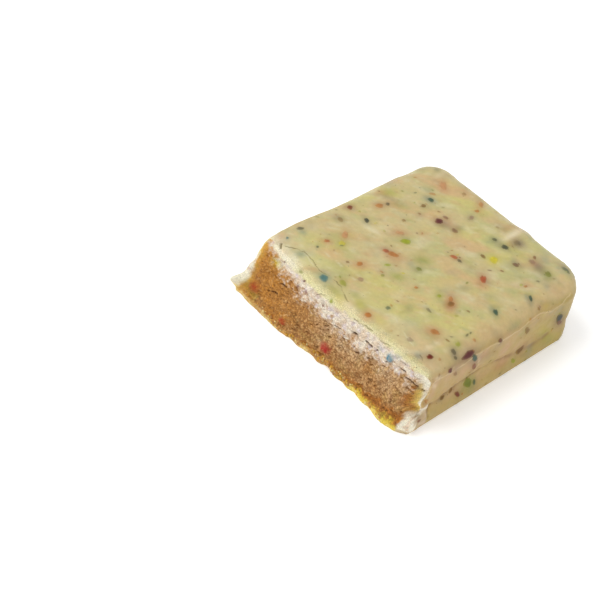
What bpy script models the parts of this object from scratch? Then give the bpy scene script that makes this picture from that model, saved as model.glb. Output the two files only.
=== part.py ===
"""One half of an iced protein bar, broken across the middle and lying on its flat base.

The bar is a block of dense, crumbly dough in a skin of pale icing with confetti flakes in it. The skin covers
the top, the two long sides, the far end and the base, and stops at the break, where the dough shows. There
are two solids: the icing, with its flakes fused on, and the dough that fills it.

Both start as a plain block, taken in by a layer's distances. Then its edges are rounded, one function bends
every layer alike into the uneven bar, and the broken face gets its crumbs and torn rim.

Metres, +Z up. X runs across the bar and Y along it, from the break to the far end. The origin is on the
surface that the bar lies on, under the middle of its bounding box.
"""

import collections
import math
import random

import bmesh
import bpy
from mathutils import Quaternion, Vector, noise

MM = 0.001

# A smooth swell: how high it is, where its middle is, and how far it spreads.
Swell = collections.namedtuple("Swell", "height middle spread")

# Driving dimensions: the bar, and how far each end of this half is from the origin.
WIDTH = 40.0 * MM
HEIGHT = 13.8 * MM
FAR_END = 23.2 * MM
BREAK_LINE = -21.3 * MM
SHIFT_ACROSS = 1.56 * MM

# How thick the icing is, and the clearance between it and the dough.
TOP_SKIN = 1.8 * MM
SIDE_SKIN = 1.4 * MM
BASE_SKIN = 1.0 * MM
CLEARANCE = 0.3 * MM

# How the icing rounds the block off.
END_CORNER = 5.0 * MM
TOP_ROUND_ACROSS = 3.6 * MM
TOP_ROUND_DOWN = 3.0 * MM
BASE_ROUND = 0.8 * MM

# The top's left edge is rounded less and less towards the break, down to a share of the rounding.
CORNER_ROUND_LEFT = 0.35
CORNER_FADE_ACROSS = (12.0 * MM, 16.0 * MM)
CORNER_FADE_ALONG = (BREAK_LINE + 5.0 * MM, BREAK_LINE + 24.0 * MM)

# The walls lean in towards the top, with a waist low down, and splay out at the left foot. The right
# one is more upright near the far end.
WALL_LEAN = 0.5 * MM
LEAN_RISE = (1.5 * MM, 8.0 * MM)
WAIST = Swell(0.45 * MM, 4.5 * MM, 2.0 * MM)
LEFT_SPLAY = 1.0 * MM
TORN_SPLAY = 1.1 * MM
TORN_REACH = 7.0 * MM
FAR_LEFT_LEAN = 0.4 * MM
FAR_LEFT_FADE = (10.0 * MM, 17.0 * MM)
FAR_RIGHT_UPRIGHT = 0.75
FAR_RIGHT_FADE = (10.0 * MM, 18.0 * MM)
WALL_FADE = (9.0 * MM, 18.0 * MM)

# The far end bulges a little in its middle and falls back on the right.
END_BULGE = Swell(0.45 * MM, 4.5 * MM, 1.8 * MM)
END_FALL = 0.85 * MM
END_FALL_FADE = (13.0 * MM, 19.0 * MM)
END_PUSH = 0.2 * MM
END_FADE = (FAR_END - 9.0 * MM, FAR_END - 2.0 * MM)

# The top sags towards the break, most of all at its left end, and is never quite level.
SAG = 0.19 * MM
LEFT_SAG = Swell(0.2 * MM, -20.0 * MM, 9.0 * MM)
SAG_REACH = 3.5 * MM
WAVE_HEIGHT = 0.2 * MM
WAVE_LENGTH = 11.0 * MM
HIGH_FADE = (0.45 * HEIGHT, 0.9 * HEIGHT)

# The broken face leans out towards its base. These are its distances from the break line.
BREAK_TOP = 0.9 * MM
BREAK_TOP_SWELLS = (Swell(-1.3 * MM, -5.0 * MM, 7.0 * MM), Swell(0.6 * MM, -20.0 * MM, 3.0 * MM))
BREAK_BASE = -1.0 * MM
BREAK_BASE_SWELLS = (
    Swell(-0.55 * MM, -11.5 * MM, 4.5 * MM),
    Swell(0.4 * MM, 1.0 * MM, 4.0 * MM),
    Swell(-0.8 * MM, 15.0 * MM, 3.0 * MM),
)
RIGHT_FOOT_BACK = 1.1 * MM
RIGHT_FOOT_FADE = (17.5 * MM, 20.0 * MM)
BREAK_FADE = 18.0 * MM

# Relief of the break: crumbs on the dough, and the ragged rim of the icing. On the right the rim is
# torn back to a slant, with a notch and a foot low down. On the left a flap is pulled sideways and out.
CRUMB_DEPTH = 0.42 * MM
CRUMB_SIZE = 1.5 * MM
FINE_CRUMBS = 2.2
RAGGED_DEPTH = 0.5 * MM
RAGGED_SIZE = 2.2 * MM
RIM_NOTCH = Swell(1.6 * MM, 4.3 * MM, 1.3 * MM)
RIM_FOOT = Swell(-0.9 * MM, 1.9 * MM, 1.2 * MM)
RIM_FADE = (16.5 * MM, 19.0 * MM)
RIM_SLANT = Swell(1.7 * MM, 9.5 * MM, 3.8 * MM)
SLANT_FADE = (18.2 * MM, 20.0 * MM)
TORN_FLAP = (Swell(1.5 * MM, 2.4 * MM, 1.5 * MM), Swell(0.8 * MM, 5.3 * MM, 1.5 * MM))
FLAP_OUT = Swell(-1.4 * MM, 2.2 * MM, 1.3 * MM)
FLAP_FADE = (18.5 * MM, 20.0 * MM)

# How close together the cuts are that give a solid its faces.
ICING_STEP = 2.4 * MM
WALL_STEP = 1.25 * MM
DOUGH_STEP = 6.0 * MM
CRUMB_STEP = 0.68 * MM
ARC_CUTS = 3
WELD = 0.0001 * MM
CRUMB_WELD = 0.08 * MM

# Confetti flakes: how many columns and rows on the top, how many on each wall and on the far end, and how
# much of their own cell each may wander in. Heights on a wall are shares of the bar's.
TOP_FLAKES = (5, 6)
TOP_SPREAD = 0.92
TOP_WANDER = (0.2, 0.8)
WALL_FLAKES = 6
END_FLAKES = 5
END_SPREAD = 0.8
WALL_WANDER = (0.3, 0.7)
UPPER_ROW = (0.5, 0.75)
LOWER_ROW = (0.15, 0.4)
FLAKE_LENGTH = (1.1 * MM, 2.2 * MM)
FLAKE_WIDTH = (0.45, 0.75)
FLAKE_THICK = 0.6 * MM
FLAKE_PROUD = 0.13 * MM
FLAKE_SIDES = 7
FLAKE_SEED = 12

# Lumps of icing on the broken dough, by their places across and up it.
LUMPS = ((-17.1 * MM, 3.0 * MM), (-8.6 * MM, 2.2 * MM), (1.1 * MM, 4.3 * MM), (13.1 * MM, 10.6 * MM))
LUMP_SIZE = Vector((1.6 * MM, 1.28 * MM, 1.12 * MM))
LUMP_SIDES = 6

# A layer of the bar is the block taken in by these distances.
Layer = collections.namedtuple("Layer", "side top base base_round")
OUTSIDE = Layer(0.0, 0.0, 0.0, BASE_ROUND)
HOLLOW = Layer(SIDE_SKIN, TOP_SKIN, BASE_SKIN, BASE_ROUND)
FILLING = Layer(SIDE_SKIN + CLEARANCE, TOP_SKIN + CLEARANCE, BASE_SKIN + CLEARANCE, BASE_ROUND)
HOLLOW_FRONT = BREAK_LINE - 6.0 * MM


def clear_scene():
    for found in list(bpy.data.objects):
        bpy.data.objects.remove(found, do_unlink=True)


def material(name, colour, roughness):
    made = bpy.data.materials.new(name)
    made.use_nodes = True
    shader = made.node_tree.nodes["Principled BSDF"]
    shader.inputs["Base Color"].default_value = (*colour, 1.0)
    shader.inputs["Roughness"].default_value = roughness
    shader.inputs["Metallic"].default_value = 0.0
    return made


# The shape: soft steps and swells, and what they do to the broken face and its rim.


def ramp(value, low, high):
    """0 up to low and 1 from high on, with a soft step between them."""
    share = min(1.0, max(0.0, (value - low) / (high - low)))
    return share * share * (3.0 - 2.0 * share)


def swell(value, *swells):
    """The height there of smooth swells, added up."""
    return sum(each.height * math.exp(-(((value - each.middle) / each.spread) ** 2)) for each in swells)


def break_offset(x, z):
    """How far the broken face is from the break line, at a place across and up it."""
    at_top = BREAK_TOP + swell(x, *BREAK_TOP_SWELLS)
    at_base = BREAK_BASE + swell(x, *BREAK_BASE_SWELLS) + RIGHT_FOOT_BACK * ramp(x, *RIGHT_FOOT_FADE)
    rise = min(1.0, max(0.0, z / HEIGHT))
    return at_base + (at_top - at_base) * rise


def rim_offset(x, z):
    """How far the icing's torn rim is from the broken face."""
    ragged = RAGGED_DEPTH * noise.noise(Vector((x, 0, z)) / RAGGED_SIZE)
    right = ramp(x, *RIM_FADE) * swell(z, RIM_NOTCH, RIM_FOOT) + ramp(x, *SLANT_FADE) * swell(z, RIM_SLANT)
    return ragged + right + ramp(-x, *FLAP_FADE) * swell(z, FLAP_OUT)


def torn_flap(x, z):
    """How far a flap of icing is pulled out sideways, low on the left of the torn rim."""
    return ramp(-x, *FLAP_FADE) * swell(z, *TORN_FLAP)


def crumb_offset(x, z):
    """Crumbs on the broken dough: large lumps with smaller ones on them."""
    place = Vector((x, 0, z)) / CRUMB_SIZE
    return CRUMB_DEPTH * (noise.noise(place) + 0.5 * noise.noise(place * FINE_CRUMBS))


# The shape: rounding the block.


def round_far_corner(point, layer):
    """Moves a point of the square-cornered plan into the plan with rounded far corners."""
    corner = END_CORNER - layer.side
    across = (abs(point.x) - (WIDTH / 2 - END_CORNER)) / corner
    along = (point.y - (FAR_END - END_CORNER)) / corner
    if across <= 0 or along <= 0:
        return point
    new_across = across * math.sqrt(1 - along * along / 2)
    new_along = along * math.sqrt(1 - across * across / 2)
    sideways = math.copysign(corner, point.x) * (new_across - across)
    return point + Vector((sideways, (new_along - along) * corner, 0))


def depth_in_plan(point, layer):
    """How far a point is inside the layer's outline from above, and the way out. The break has no edge."""
    corner = END_CORNER - layer.side
    across = abs(point.x) - (WIDTH / 2 - END_CORNER)
    along = point.y - (FAR_END - END_CORNER)
    side = math.copysign(1.0, point.x)
    if across > 0 and along > 0:
        reach = math.hypot(across, along)
        return corner - reach, Vector((side * across / reach, along / reach, 0))
    if across > along:
        return corner - across, Vector((side, 0, 0))
    return corner - along, Vector((0, 1, 0))


def round_edge(point, layer, level, across, down):
    """Rounds the edge at one level. down is how far the rounding reaches below it, or above if negative."""
    depth, outward = depth_in_plan(point, layer)
    out = 1 - depth / across
    up = (point.z - (level - down)) / down
    if out <= 0 or up <= 0:
        return point
    new_out = out * math.sqrt(1 - up * up / 2)
    new_up = up * math.sqrt(1 - out * out / 2)
    return point + outward * ((new_out - out) * across) + Vector((0, 0, (new_up - up) * down))


def rounded(point, layer):
    point = round_far_corner(point, layer)
    across, down = TOP_ROUND_ACROSS - layer.side, TOP_ROUND_DOWN - layer.top
    near_corner = ramp(-point.x, *CORNER_FADE_ACROSS) * (1 - ramp(point.y, *CORNER_FADE_ALONG))
    share = 1 - (1 - CORNER_ROUND_LEFT) * near_corner
    point = point.lerp(round_edge(point, layer, HEIGHT - layer.top, across, down), share)
    return round_edge(point, layer, layer.base, layer.base_round, -layer.base_round)


# The shape: bending the rounded block. Each layer goes through the same functions, so they keep their
# distances.


def shift_of_walls(x, y, z):
    left, right = ramp(-x, *WALL_FADE), ramp(x, *WALL_FADE)
    torn = 1 - ramp(y, BREAK_LINE, BREAK_LINE + TORN_REACH)
    waist, lean = swell(z, WAIST), WALL_LEAN * ramp(z, *LEAN_RISE)
    splay = (LEFT_SPLAY + TORN_SPLAY * torn) * (1 - z / HEIGHT)
    far_lean = FAR_LEFT_LEAN * ramp(z, *HIGH_FADE) * ramp(y, *FAR_LEFT_FADE)
    upright = 1 - FAR_RIGHT_UPRIGHT * ramp(y, *FAR_RIGHT_FADE)
    return left * (waist + lean / 2 + far_lean - splay) - right * (waist + lean) * upright


def shift_of_ends(x, y, z):
    waist, lean = swell(z, WAIST), WALL_LEAN * ramp(z, *LEAN_RISE)
    bulge = END_PUSH + swell(x, END_BULGE) - END_FALL * ramp(x, *END_FALL_FADE)
    far = ramp(y, *END_FADE) * (ramp(z, *HIGH_FADE) * bulge - waist - lean)
    return far + break_offset(x, z) * (1 - ramp(y, BREAK_LINE, BREAK_LINE + BREAK_FADE))


def shift_of_top(x, y):
    sag = (SAG + swell(x, LEFT_SAG)) * (1 - ramp(y, BREAK_LINE, BREAK_LINE + SAG_REACH))
    return WAVE_HEIGHT * noise.noise(Vector((x, y, 0)) / WAVE_LENGTH) - sag


def settled(point):
    """Bends the rounded block into the uneven bar."""
    x, y, z = point
    new_x = x + shift_of_walls(x, y, z) + SHIFT_ACROSS
    new_y = y + shift_of_ends(x, y, z)
    new_z = z + ramp(z, *HIGH_FADE) * shift_of_top(x, y)
    return Vector((new_x, new_y, new_z))


# The solids.


def stations(low, high, low_round, high_round, step):
    """Where to cut a block along one axis: close together where an end is rounded, and evenly between."""
    arc = [math.sqrt(2) * math.sin(math.radians(45) * number / ARC_CUTS) for number in range(ARC_CUTS)]
    near = [low + low_round * (1 - share) for share in arc]
    far = [high - high_round * (1 - share) for share in arc]
    flat = high - high_round - (low + low_round)
    count = max(1, round(flat / step))
    even = [low + low_round + flat * number / count for number in range(1, count)]
    return sorted(near + even + far)


def is_base(face):
    return face.normal.z < -0.9


def is_above_base(face):
    return not is_base(face)


def is_broken(face):
    return face.normal.y < -0.9


def cut(solid, axis, places, chosen, weld=WELD):
    """Cuts the chosen faces by a plane across the axis at each place."""
    for place in places:
        faces = [face for face in solid.faces if chosen(face)]
        edges = {edge for face in faces for edge in face.edges}
        corners = {vertex for face in faces for vertex in face.verts}
        on_plane, across = Vector((0, 0, 0)), Vector((0, 0, 0))
        on_plane[axis] = place
        across[axis] = 1
        whole = faces + list(edges) + list(corners)
        bmesh.ops.bisect_plane(solid, geom=whole, dist=weld, plane_co=on_plane, plane_no=across)
        solid.normal_update()


def block(layer, front, step):
    """The plain block of one layer, from its front to the far end, cut into faces small enough to bend."""
    half, back, top = WIDTH / 2 - layer.side, FAR_END - layer.side, HEIGHT - layer.top
    low, high = Vector((-half, front, layer.base)), Vector((half, back, top))
    solid = bmesh.new()
    bmesh.ops.create_cube(solid, size=1.0)
    for vertex in solid.verts:
        for axis in range(3):
            vertex.co[axis] = low[axis] if vertex.co[axis] < 0 else high[axis]
    solid.normal_update()
    side, down, corner = TOP_ROUND_ACROSS - layer.side, TOP_ROUND_DOWN - layer.top, END_CORNER - layer.side
    across = stations(-half, half, side, side, step)
    along = stations(front, back, BREAK_LINE + SAG_REACH - front, corner, step)
    cut(solid, 0, across, is_above_base)
    cut(solid, 1, along, is_above_base)
    cut(solid, 2, stations(layer.base, top, layer.base_round, down, WALL_STEP), is_above_base)
    # The base is one flat face, with a ring of faces round it that rise with its rounded edge.
    cut(solid, 0, (across[0], across[-1]), is_base)
    cut(solid, 1, (along[-ARC_CUTS], along[-1]), is_base)
    return solid


def object_from(solid, name, collection, finish=None):
    bmesh.ops.recalc_face_normals(solid, faces=solid.faces[:])
    mesh = bpy.data.meshes.new(name)
    solid.to_mesh(mesh)
    solid.free()
    made = bpy.data.objects.new(name, mesh)
    collection.objects.link(made)
    if finish:
        mesh.materials.append(finish)
    return made


def bend(solid, layer, offset_at_break=None):
    """Rounds and bends a block, and moves each point of its broken face by the offset for its place."""
    for vertex in solid.verts:
        offset = Vector((0, 0, 0))
        if offset_at_break and vertex.co.y < BREAK_LINE + WELD:
            offset = offset_at_break(vertex.co.x, vertex.co.z)
        vertex.co = settled(rounded(vertex.co, layer)) + offset


def torn_rim(x, z):
    return Vector((-torn_flap(x, z), rim_offset(x, z), 0))


def crumbs(x, z):
    return Vector((0, crumb_offset(x, z), 0))


def make_icing(collection, finish):
    solid = block(OUTSIDE, BREAK_LINE, ICING_STEP)
    bend(solid, OUTSIDE, torn_rim)
    return object_from(solid, "icing", collection, finish)


def make_hollow(collection):
    """The space that the dough fills, carried on past the break so that it cuts the icing open there."""
    solid = block(HOLLOW, HOLLOW_FRONT, DOUGH_STEP)
    bend(solid, HOLLOW)
    return object_from(solid, "hollow", collection)


def make_dough(collection, finish):
    solid = block(FILLING, BREAK_LINE, DOUGH_STEP)
    for axis, reach in ((0, WIDTH / 2), (2, HEIGHT)):
        count = round(reach / CRUMB_STEP)
        places = [(number + 0.5) * CRUMB_STEP for number in range(-count, count)]
        cut(solid, axis, places, is_broken, CRUMB_WELD)
    bend(solid, FILLING, crumbs)
    return object_from(solid, "dough", collection, finish)


# The confetti.


def wander(draw, number, count, room):
    """A place from 0 to 1 in one of the count cells, wandering over some of its cell."""
    return (number + draw.uniform(*room)) / count


def flake_rays(draw):
    """Where flakes go: an uneven grid over the top, and uneven rows along both walls and the far end."""
    columns, rows = TOP_FLAKES
    length = FAR_END - BREAK_LINE
    for cell in range(columns * rows):
        x = WIDTH * TOP_SPREAD * (wander(draw, cell % columns, columns, TOP_WANDER) - 0.5)
        y = BREAK_LINE + length * wander(draw, cell // columns, rows, TOP_WANDER)
        yield Vector((x, y, 2 * HEIGHT)), Vector((0, 0, -1))
    for side in (-1, 1):
        for number in range(WALL_FLAKES):
            y = BREAK_LINE + length * wander(draw, number, WALL_FLAKES, WALL_WANDER)
            z = HEIGHT * draw.uniform(*(UPPER_ROW if number % 2 else LOWER_ROW))
            yield Vector((side * WIDTH, y, z)), Vector((-side, 0, 0))
    for number in range(END_FLAKES):
        x = WIDTH * END_SPREAD * (wander(draw, number, END_FLAKES, WALL_WANDER) - 0.5)
        z = HEIGHT * draw.uniform(*(UPPER_ROW if number % 2 else LOWER_ROW))
        yield Vector((x, 2 * FAR_END, z)), Vector((0, -1, 0))


def scatter_flakes(icing, collection):
    draw = random.Random(FLAKE_SEED)
    bpy.context.view_layer.update()
    for number, (start, way) in enumerate(flake_rays(draw)):
        found, place, normal, _ = icing.ray_cast(start, way)
        length = draw.uniform(*FLAKE_LENGTH)
        size = Vector((length, length * draw.uniform(*FLAKE_WIDTH), FLAKE_THICK))
        turn = draw.uniform(0, math.pi)
        if found:
            centre = place - normal * (FLAKE_THICK / 2 - FLAKE_PROUD)
            make_bit(f"flake_{number:02d}", collection, FLAKE_SIDES, centre, normal, size, turn)


def scatter_lumps(dough, collection):
    bpy.context.view_layer.update()
    for number, (x, z) in enumerate(LUMPS):
        found, place, normal, _ = dough.ray_cast(Vector((x, 2 * BREAK_LINE, z)), Vector((0, 1, 0)))
        if found:
            make_bit(f"lump_{number}", collection, LUMP_SIDES, place, normal, LUMP_SIZE, number)


def make_bit(name, collection, sides, centre, normal, size, turn):
    """One bit of confetti: a flat disc with few sides, smaller on top, partly sunk in what it lies on."""
    solid = bmesh.new()
    bmesh.ops.create_cone(solid, cap_ends=True, segments=sides, radius1=0.5, radius2=0.38, depth=1.0)
    for vertex in solid.verts:
        vertex.co = vertex.co * size
    made = object_from(solid, name, collection)
    made.rotation_mode = "QUATERNION"
    upright = Vector((0, 0, 1)).rotation_difference(normal)
    made.rotation_quaternion = upright @ Quaternion((0, 0, 1), turn)
    made.location = centre


def cut_away(target, cutter):
    modifier = target.modifiers.new("cut", "BOOLEAN")
    modifier.operation = "DIFFERENCE"
    modifier.object = cutter
    apply_and_clear(target, modifier, [cutter])


def fuse(target, bits):
    """Joins every object of a collection onto the target, in one Boolean."""
    modifier = target.modifiers.new("fuse", "BOOLEAN")
    modifier.operation = "UNION"
    modifier.operand_type = "COLLECTION"
    modifier.collection = bits
    apply_and_clear(target, modifier, list(bits.objects))


def apply_and_clear(target, modifier, used):
    bpy.context.view_layer.objects.active = target
    bpy.ops.object.modifier_apply(modifier=modifier.name)
    for each in used:
        bpy.data.objects.remove(each, do_unlink=True)


def new_collection(name, shown):
    made = bpy.data.collections.new(name)
    made.hide_render = not shown
    bpy.context.scene.collection.children.link(made)
    return made


def main():
    clear_scene()
    bar = new_collection("protein_bar_half", True)
    helpers = new_collection("helpers", False)

    icing = make_icing(bar, material("icing", (0.66, 0.56, 0.30), 0.42))
    cut_away(icing, make_hollow(helpers))
    scatter_flakes(icing, helpers)
    fuse(icing, helpers)

    dough = make_dough(bar, material("dough", (0.50, 0.27, 0.10), 0.85))
    scatter_lumps(dough, helpers)
    fuse(dough, helpers)


main()
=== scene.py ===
# %% [markdown]
# # Half of an iced protein bar
#
# A block of dense, crumbly dough in a skin of pale icing, with flecks of melted confetti all through
# the icing. It was broken across the middle, so one end shows the crumb, with white icing smeared
# over its upper part and a yellow fringe where icing has soaked in.
#
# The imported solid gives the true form. Here its two pieces are made again from the same driving
# sizes, on meshes fine enough for crumbs, cracks and creases, and are then coloured and finished.
# Sizes are in millimetres, and become metres only where a mesh goes to Blender.

import math
import random
from collections import namedtuple

import bmesh
import bpy
import numpy as np
from mathutils import Matrix, Vector, noise
from mathutils.bvhtree import BVHTree


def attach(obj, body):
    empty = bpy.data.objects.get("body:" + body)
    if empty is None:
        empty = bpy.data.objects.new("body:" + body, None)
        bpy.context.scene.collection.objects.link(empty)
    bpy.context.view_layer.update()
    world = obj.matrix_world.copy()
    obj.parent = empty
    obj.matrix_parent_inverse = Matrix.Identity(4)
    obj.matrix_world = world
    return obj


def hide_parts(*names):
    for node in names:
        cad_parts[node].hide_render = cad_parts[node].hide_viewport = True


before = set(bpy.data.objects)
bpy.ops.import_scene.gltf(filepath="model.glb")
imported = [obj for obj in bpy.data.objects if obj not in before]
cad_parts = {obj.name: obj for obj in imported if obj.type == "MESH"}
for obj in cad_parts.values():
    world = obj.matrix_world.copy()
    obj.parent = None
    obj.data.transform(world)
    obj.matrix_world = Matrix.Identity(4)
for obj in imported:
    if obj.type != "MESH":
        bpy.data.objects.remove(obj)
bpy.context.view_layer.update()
MM = 0.001
HAIR, TINY = 1e-6, 1e-9

# %% [markdown]
# ## The camera
#
# It comes first, because the flecks and cracks that the photograph shows are placed through it: a
# pixel gives a line of sight, and the fleck goes where that line meets the icing. Its place, tilt
# and lens were fitted to the block's straight edges in the photograph, which is rolled a little.

# %% Camera
CAMERA_PLACE = np.array([126.91, -208.47, 217.67])
CAMERA_WAY = np.array([-0.4302, 0.6011, -0.6735])
CAMERA_ROLL = math.radians(15.11)
LENS = 110.1
SENSOR = 36.0
PICTURE = 600
NEAREST_SEEN = 10.0


def unit(vector):
    return vector / np.linalg.norm(vector)


def put(name, data):
    """A new object in the scene."""
    made = bpy.data.objects.new(name, data)
    bpy.context.scene.collection.objects.link(made)
    return made


camera_way = unit(CAMERA_WAY)
level_right = unit(np.cross(camera_way, [0, 0, 1]))
level_up = np.cross(level_right, camera_way)
camera_right = math.cos(CAMERA_ROLL) * level_right + math.sin(CAMERA_ROLL) * level_up
camera_up = np.cross(camera_right, camera_way)

camera = put("camera", bpy.data.cameras.new("camera"))
turned = Matrix([camera_right, camera_up, -camera_way]).transposed().to_4x4()
camera.matrix_world = Matrix.Translation(Vector(CAMERA_PLACE) * MM) @ turned
camera.data.lens = LENS
camera.data.sensor_width = SENSOR
camera.data.clip_start = NEAREST_SEEN * MM
bpy.context.scene.camera = camera


def sight(x, y):
    """The way from the camera through one pixel of the picture."""
    focal = PICTURE * LENS / SENSOR
    sideways = camera_right * (x - PICTURE / 2) + camera_up * (PICTURE / 2 - y)
    return unit(camera_way + sideways / focal)


print("camera", np.round(CAMERA_PLACE, 1), "looks", np.round(camera_way, 3))

# %% [markdown]
# ## The form
#
# The bar starts as a plain block. Its edges are rounded, and one bend makes it uneven: the walls
# lean and have a waist low down, the left foot splays out, the top sags towards the break, and the
# broken face leans. These are the solid's own functions, on arrays of points.

# %% Driving sizes, as in the solid
WIDTH = 40.0
HEIGHT = 13.8
FAR_END = 23.2
BREAK_LINE = -21.3
SHIFT_ACROSS = 1.56

TOP_SKIN, SIDE_SKIN, BASE_SKIN = 1.8, 1.4, 1.0
CLEARANCE = 0.3
END_CORNER = 5.0
TOP_ROUND_ACROSS, TOP_ROUND_DOWN = 3.6, 3.0
BASE_ROUND = 0.8
CORNER_ROUND_LEFT = 0.35
CORNER_FADE_ACROSS = (12.0, 16.0)
CORNER_FADE_ALONG = (BREAK_LINE + 5.0, BREAK_LINE + 24.0)

Swell = namedtuple("Swell", "height middle spread")
Layer = namedtuple("Layer", "side top base")
OUTSIDE = Layer(0.0, 0.0, 0.0)
HOLLOW = Layer(SIDE_SKIN, TOP_SKIN, BASE_SKIN)
FILLING = Layer(SIDE_SKIN + CLEARANCE, TOP_SKIN + CLEARANCE, BASE_SKIN + CLEARANCE)


def ramp(value, low, high):
    """0 up to low and 1 from high on, with a soft step between them."""
    share = np.clip((value - low) / (high - low), 0, 1)
    return share * share * (3 - 2 * share)


def fall(value, low, high):
    """The other way round: 1 up to low and 0 from high on."""
    return 1 - ramp(value, low, high)


def by_break(y, reach):
    """1 at the break line and 0 from the reach behind it on."""
    return fall(y, BREAK_LINE, BREAK_LINE + reach)


def swell(value, *swells):
    """The height there of smooth swells, added up."""
    return sum(each.height * np.exp(-(((value - each.middle) / each.spread) ** 2)) for each in swells)


def rough(points, size, seed=0.0):
    """Smooth noise, about -1 to 1, whose lumps are about as large as the size."""
    scaled = np.asarray(points) / size + seed
    return np.array([noise.noise(point) for point in scaled.tolist()])


def upright(flat):
    """Places across and up the broken face, as points for noise."""
    return np.column_stack([flat[:, 0], 0 * flat[:, 0], flat[:, 1]])


def patches(points, size, seed, low, high):
    """Patches of noise, 0 where it is low and 1 where it is high."""
    return ramp(rough(points, size, seed), low, high)


# %% Round the block
def corner_shift(out, up):
    """How far a point in a square corner moves, both ways, to lie in a round one. Both run 0 to 1."""
    out, up = np.clip(out, 0, 1), np.clip(up, 0, 1)
    return out * (np.sqrt(1 - up * up / 2) - 1), up * (np.sqrt(1 - out * out / 2) - 1)


def round_far_corner(points, layer):
    corner = END_CORNER - layer.side
    across = (np.abs(points[:, 0]) - (WIDTH / 2 - END_CORNER)) / corner
    along = (points[:, 1] - (FAR_END - END_CORNER)) / corner
    sideways, back = corner_shift(across, along)
    return points + corner * np.column_stack([np.sign(points[:, 0]) * sideways, back, 0 * back])


def depth_in_plan(points, layer):
    """How far each point is inside the layer's outline seen from above, and the way out."""
    corner = END_CORNER - layer.side
    across = np.abs(points[:, 0]) - (WIDTH / 2 - END_CORNER)
    along = points[:, 1] - (FAR_END - END_CORNER)
    in_corner = (across > 0) & (along > 0)
    reach = np.where(in_corner, np.hypot(across, along), np.maximum(across, along))
    out_x = np.where(in_corner, across / np.maximum(reach, TINY), across > along)
    out_y = np.where(in_corner, along / np.maximum(reach, TINY), across <= along)
    return corner - reach, np.column_stack([np.sign(points[:, 0]) * out_x, out_y, 0 * out_y])


def edge_shift(points, layer, level, across, down):
    """What rounds the edge at one level. down is how far it reaches below it, or above if negative."""
    depth, outward = depth_in_plan(points, layer)
    out, up = corner_shift(1 - depth / across, (points[:, 2] - (level - down)) / down)
    return outward * (out * across)[:, None] + np.outer(up * down, [0, 0, 1])


def rounded(points, layer):
    points = round_far_corner(points, layer)
    across, down = TOP_ROUND_ACROSS - layer.side, TOP_ROUND_DOWN - layer.top
    near_corner = ramp(-points[:, 0], *CORNER_FADE_ACROSS) * fall(points[:, 1], *CORNER_FADE_ALONG)
    share = 1 - (1 - CORNER_ROUND_LEFT) * near_corner
    points = points + share[:, None] * edge_shift(points, layer, HEIGHT - layer.top, across, down)
    return points + edge_shift(points, layer, layer.base, BASE_ROUND, -BASE_ROUND)


# %% Bend it into the uneven bar
WALL_LEAN, LEAN_RISE = 0.5, (1.5, 8.0)
WAIST = Swell(0.45, 4.5, 2.0)
LEFT_SPLAY, TORN_SPLAY, TORN_REACH = 1.0, 1.1, 7.0
FAR_LEFT_LEAN, FAR_LEFT_FADE = 0.4, (10.0, 17.0)
FAR_RIGHT_UPRIGHT, FAR_RIGHT_FADE = 0.75, (10.0, 18.0)
WALL_FADE = (9.0, 18.0)
END_BULGE = Swell(0.45, 4.5, 1.8)
END_FALL, END_FALL_FADE = 0.85, (13.0, 19.0)
END_PUSH = 0.2
END_FADE = (FAR_END - 9.0, FAR_END - 2.0)
SAG, LEFT_SAG, SAG_REACH = 0.19, Swell(0.2, -20.0, 9.0), 3.5
WAVE_HEIGHT, WAVE_LENGTH = 0.2, 11.0
HIGH_FADE = (0.45 * HEIGHT, 0.9 * HEIGHT)
BREAK_TOP = 0.9
BREAK_TOP_SWELLS = (Swell(-1.3, -5.0, 7.0), Swell(0.6, -20.0, 3.0))
BREAK_BASE = -1.0
BREAK_BASE_SWELLS = (Swell(-0.55, -11.5, 4.5), Swell(0.4, 1.0, 4.0), Swell(-0.8, 15.0, 3.0))
RIGHT_FOOT_BACK, RIGHT_FOOT_FADE = 1.1, (17.5, 20.0)
BREAK_FADE = 18.0


def break_offset(x, z):
    """How far the broken face is from the break line, at a place across and up it."""
    at_top = BREAK_TOP + swell(x, *BREAK_TOP_SWELLS)
    at_base = BREAK_BASE + swell(x, *BREAK_BASE_SWELLS) + RIGHT_FOOT_BACK * ramp(x, *RIGHT_FOOT_FADE)
    return at_base + (at_top - at_base) * np.clip(z / HEIGHT, 0, 1)


def shift_of_walls(x, y, z):
    left, right = ramp(-x, *WALL_FADE), ramp(x, *WALL_FADE)
    torn = by_break(y, TORN_REACH)
    waist, lean = swell(z, WAIST), WALL_LEAN * ramp(z, *LEAN_RISE)
    splay = (LEFT_SPLAY + TORN_SPLAY * torn) * (1 - z / HEIGHT)
    far_lean = FAR_LEFT_LEAN * ramp(z, *HIGH_FADE) * ramp(y, *FAR_LEFT_FADE)
    upright = 1 - FAR_RIGHT_UPRIGHT * ramp(y, *FAR_RIGHT_FADE)
    return left * (waist + lean / 2 + far_lean - splay) - right * (waist + lean) * upright


def shift_of_ends(x, y, z):
    waist, lean = swell(z, WAIST), WALL_LEAN * ramp(z, *LEAN_RISE)
    bulge = END_PUSH + swell(x, END_BULGE) - END_FALL * ramp(x, *END_FALL_FADE)
    far = ramp(y, *END_FADE) * (ramp(z, *HIGH_FADE) * bulge - waist - lean)
    return far + break_offset(x, z) * by_break(y, BREAK_FADE)


def shift_of_top(x, y):
    sag = (SAG + swell(x, LEFT_SAG)) * by_break(y, SAG_REACH)
    wave = WAVE_HEIGHT * rough(np.column_stack([x, y, 0 * x]), WAVE_LENGTH)
    return wave - sag


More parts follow.
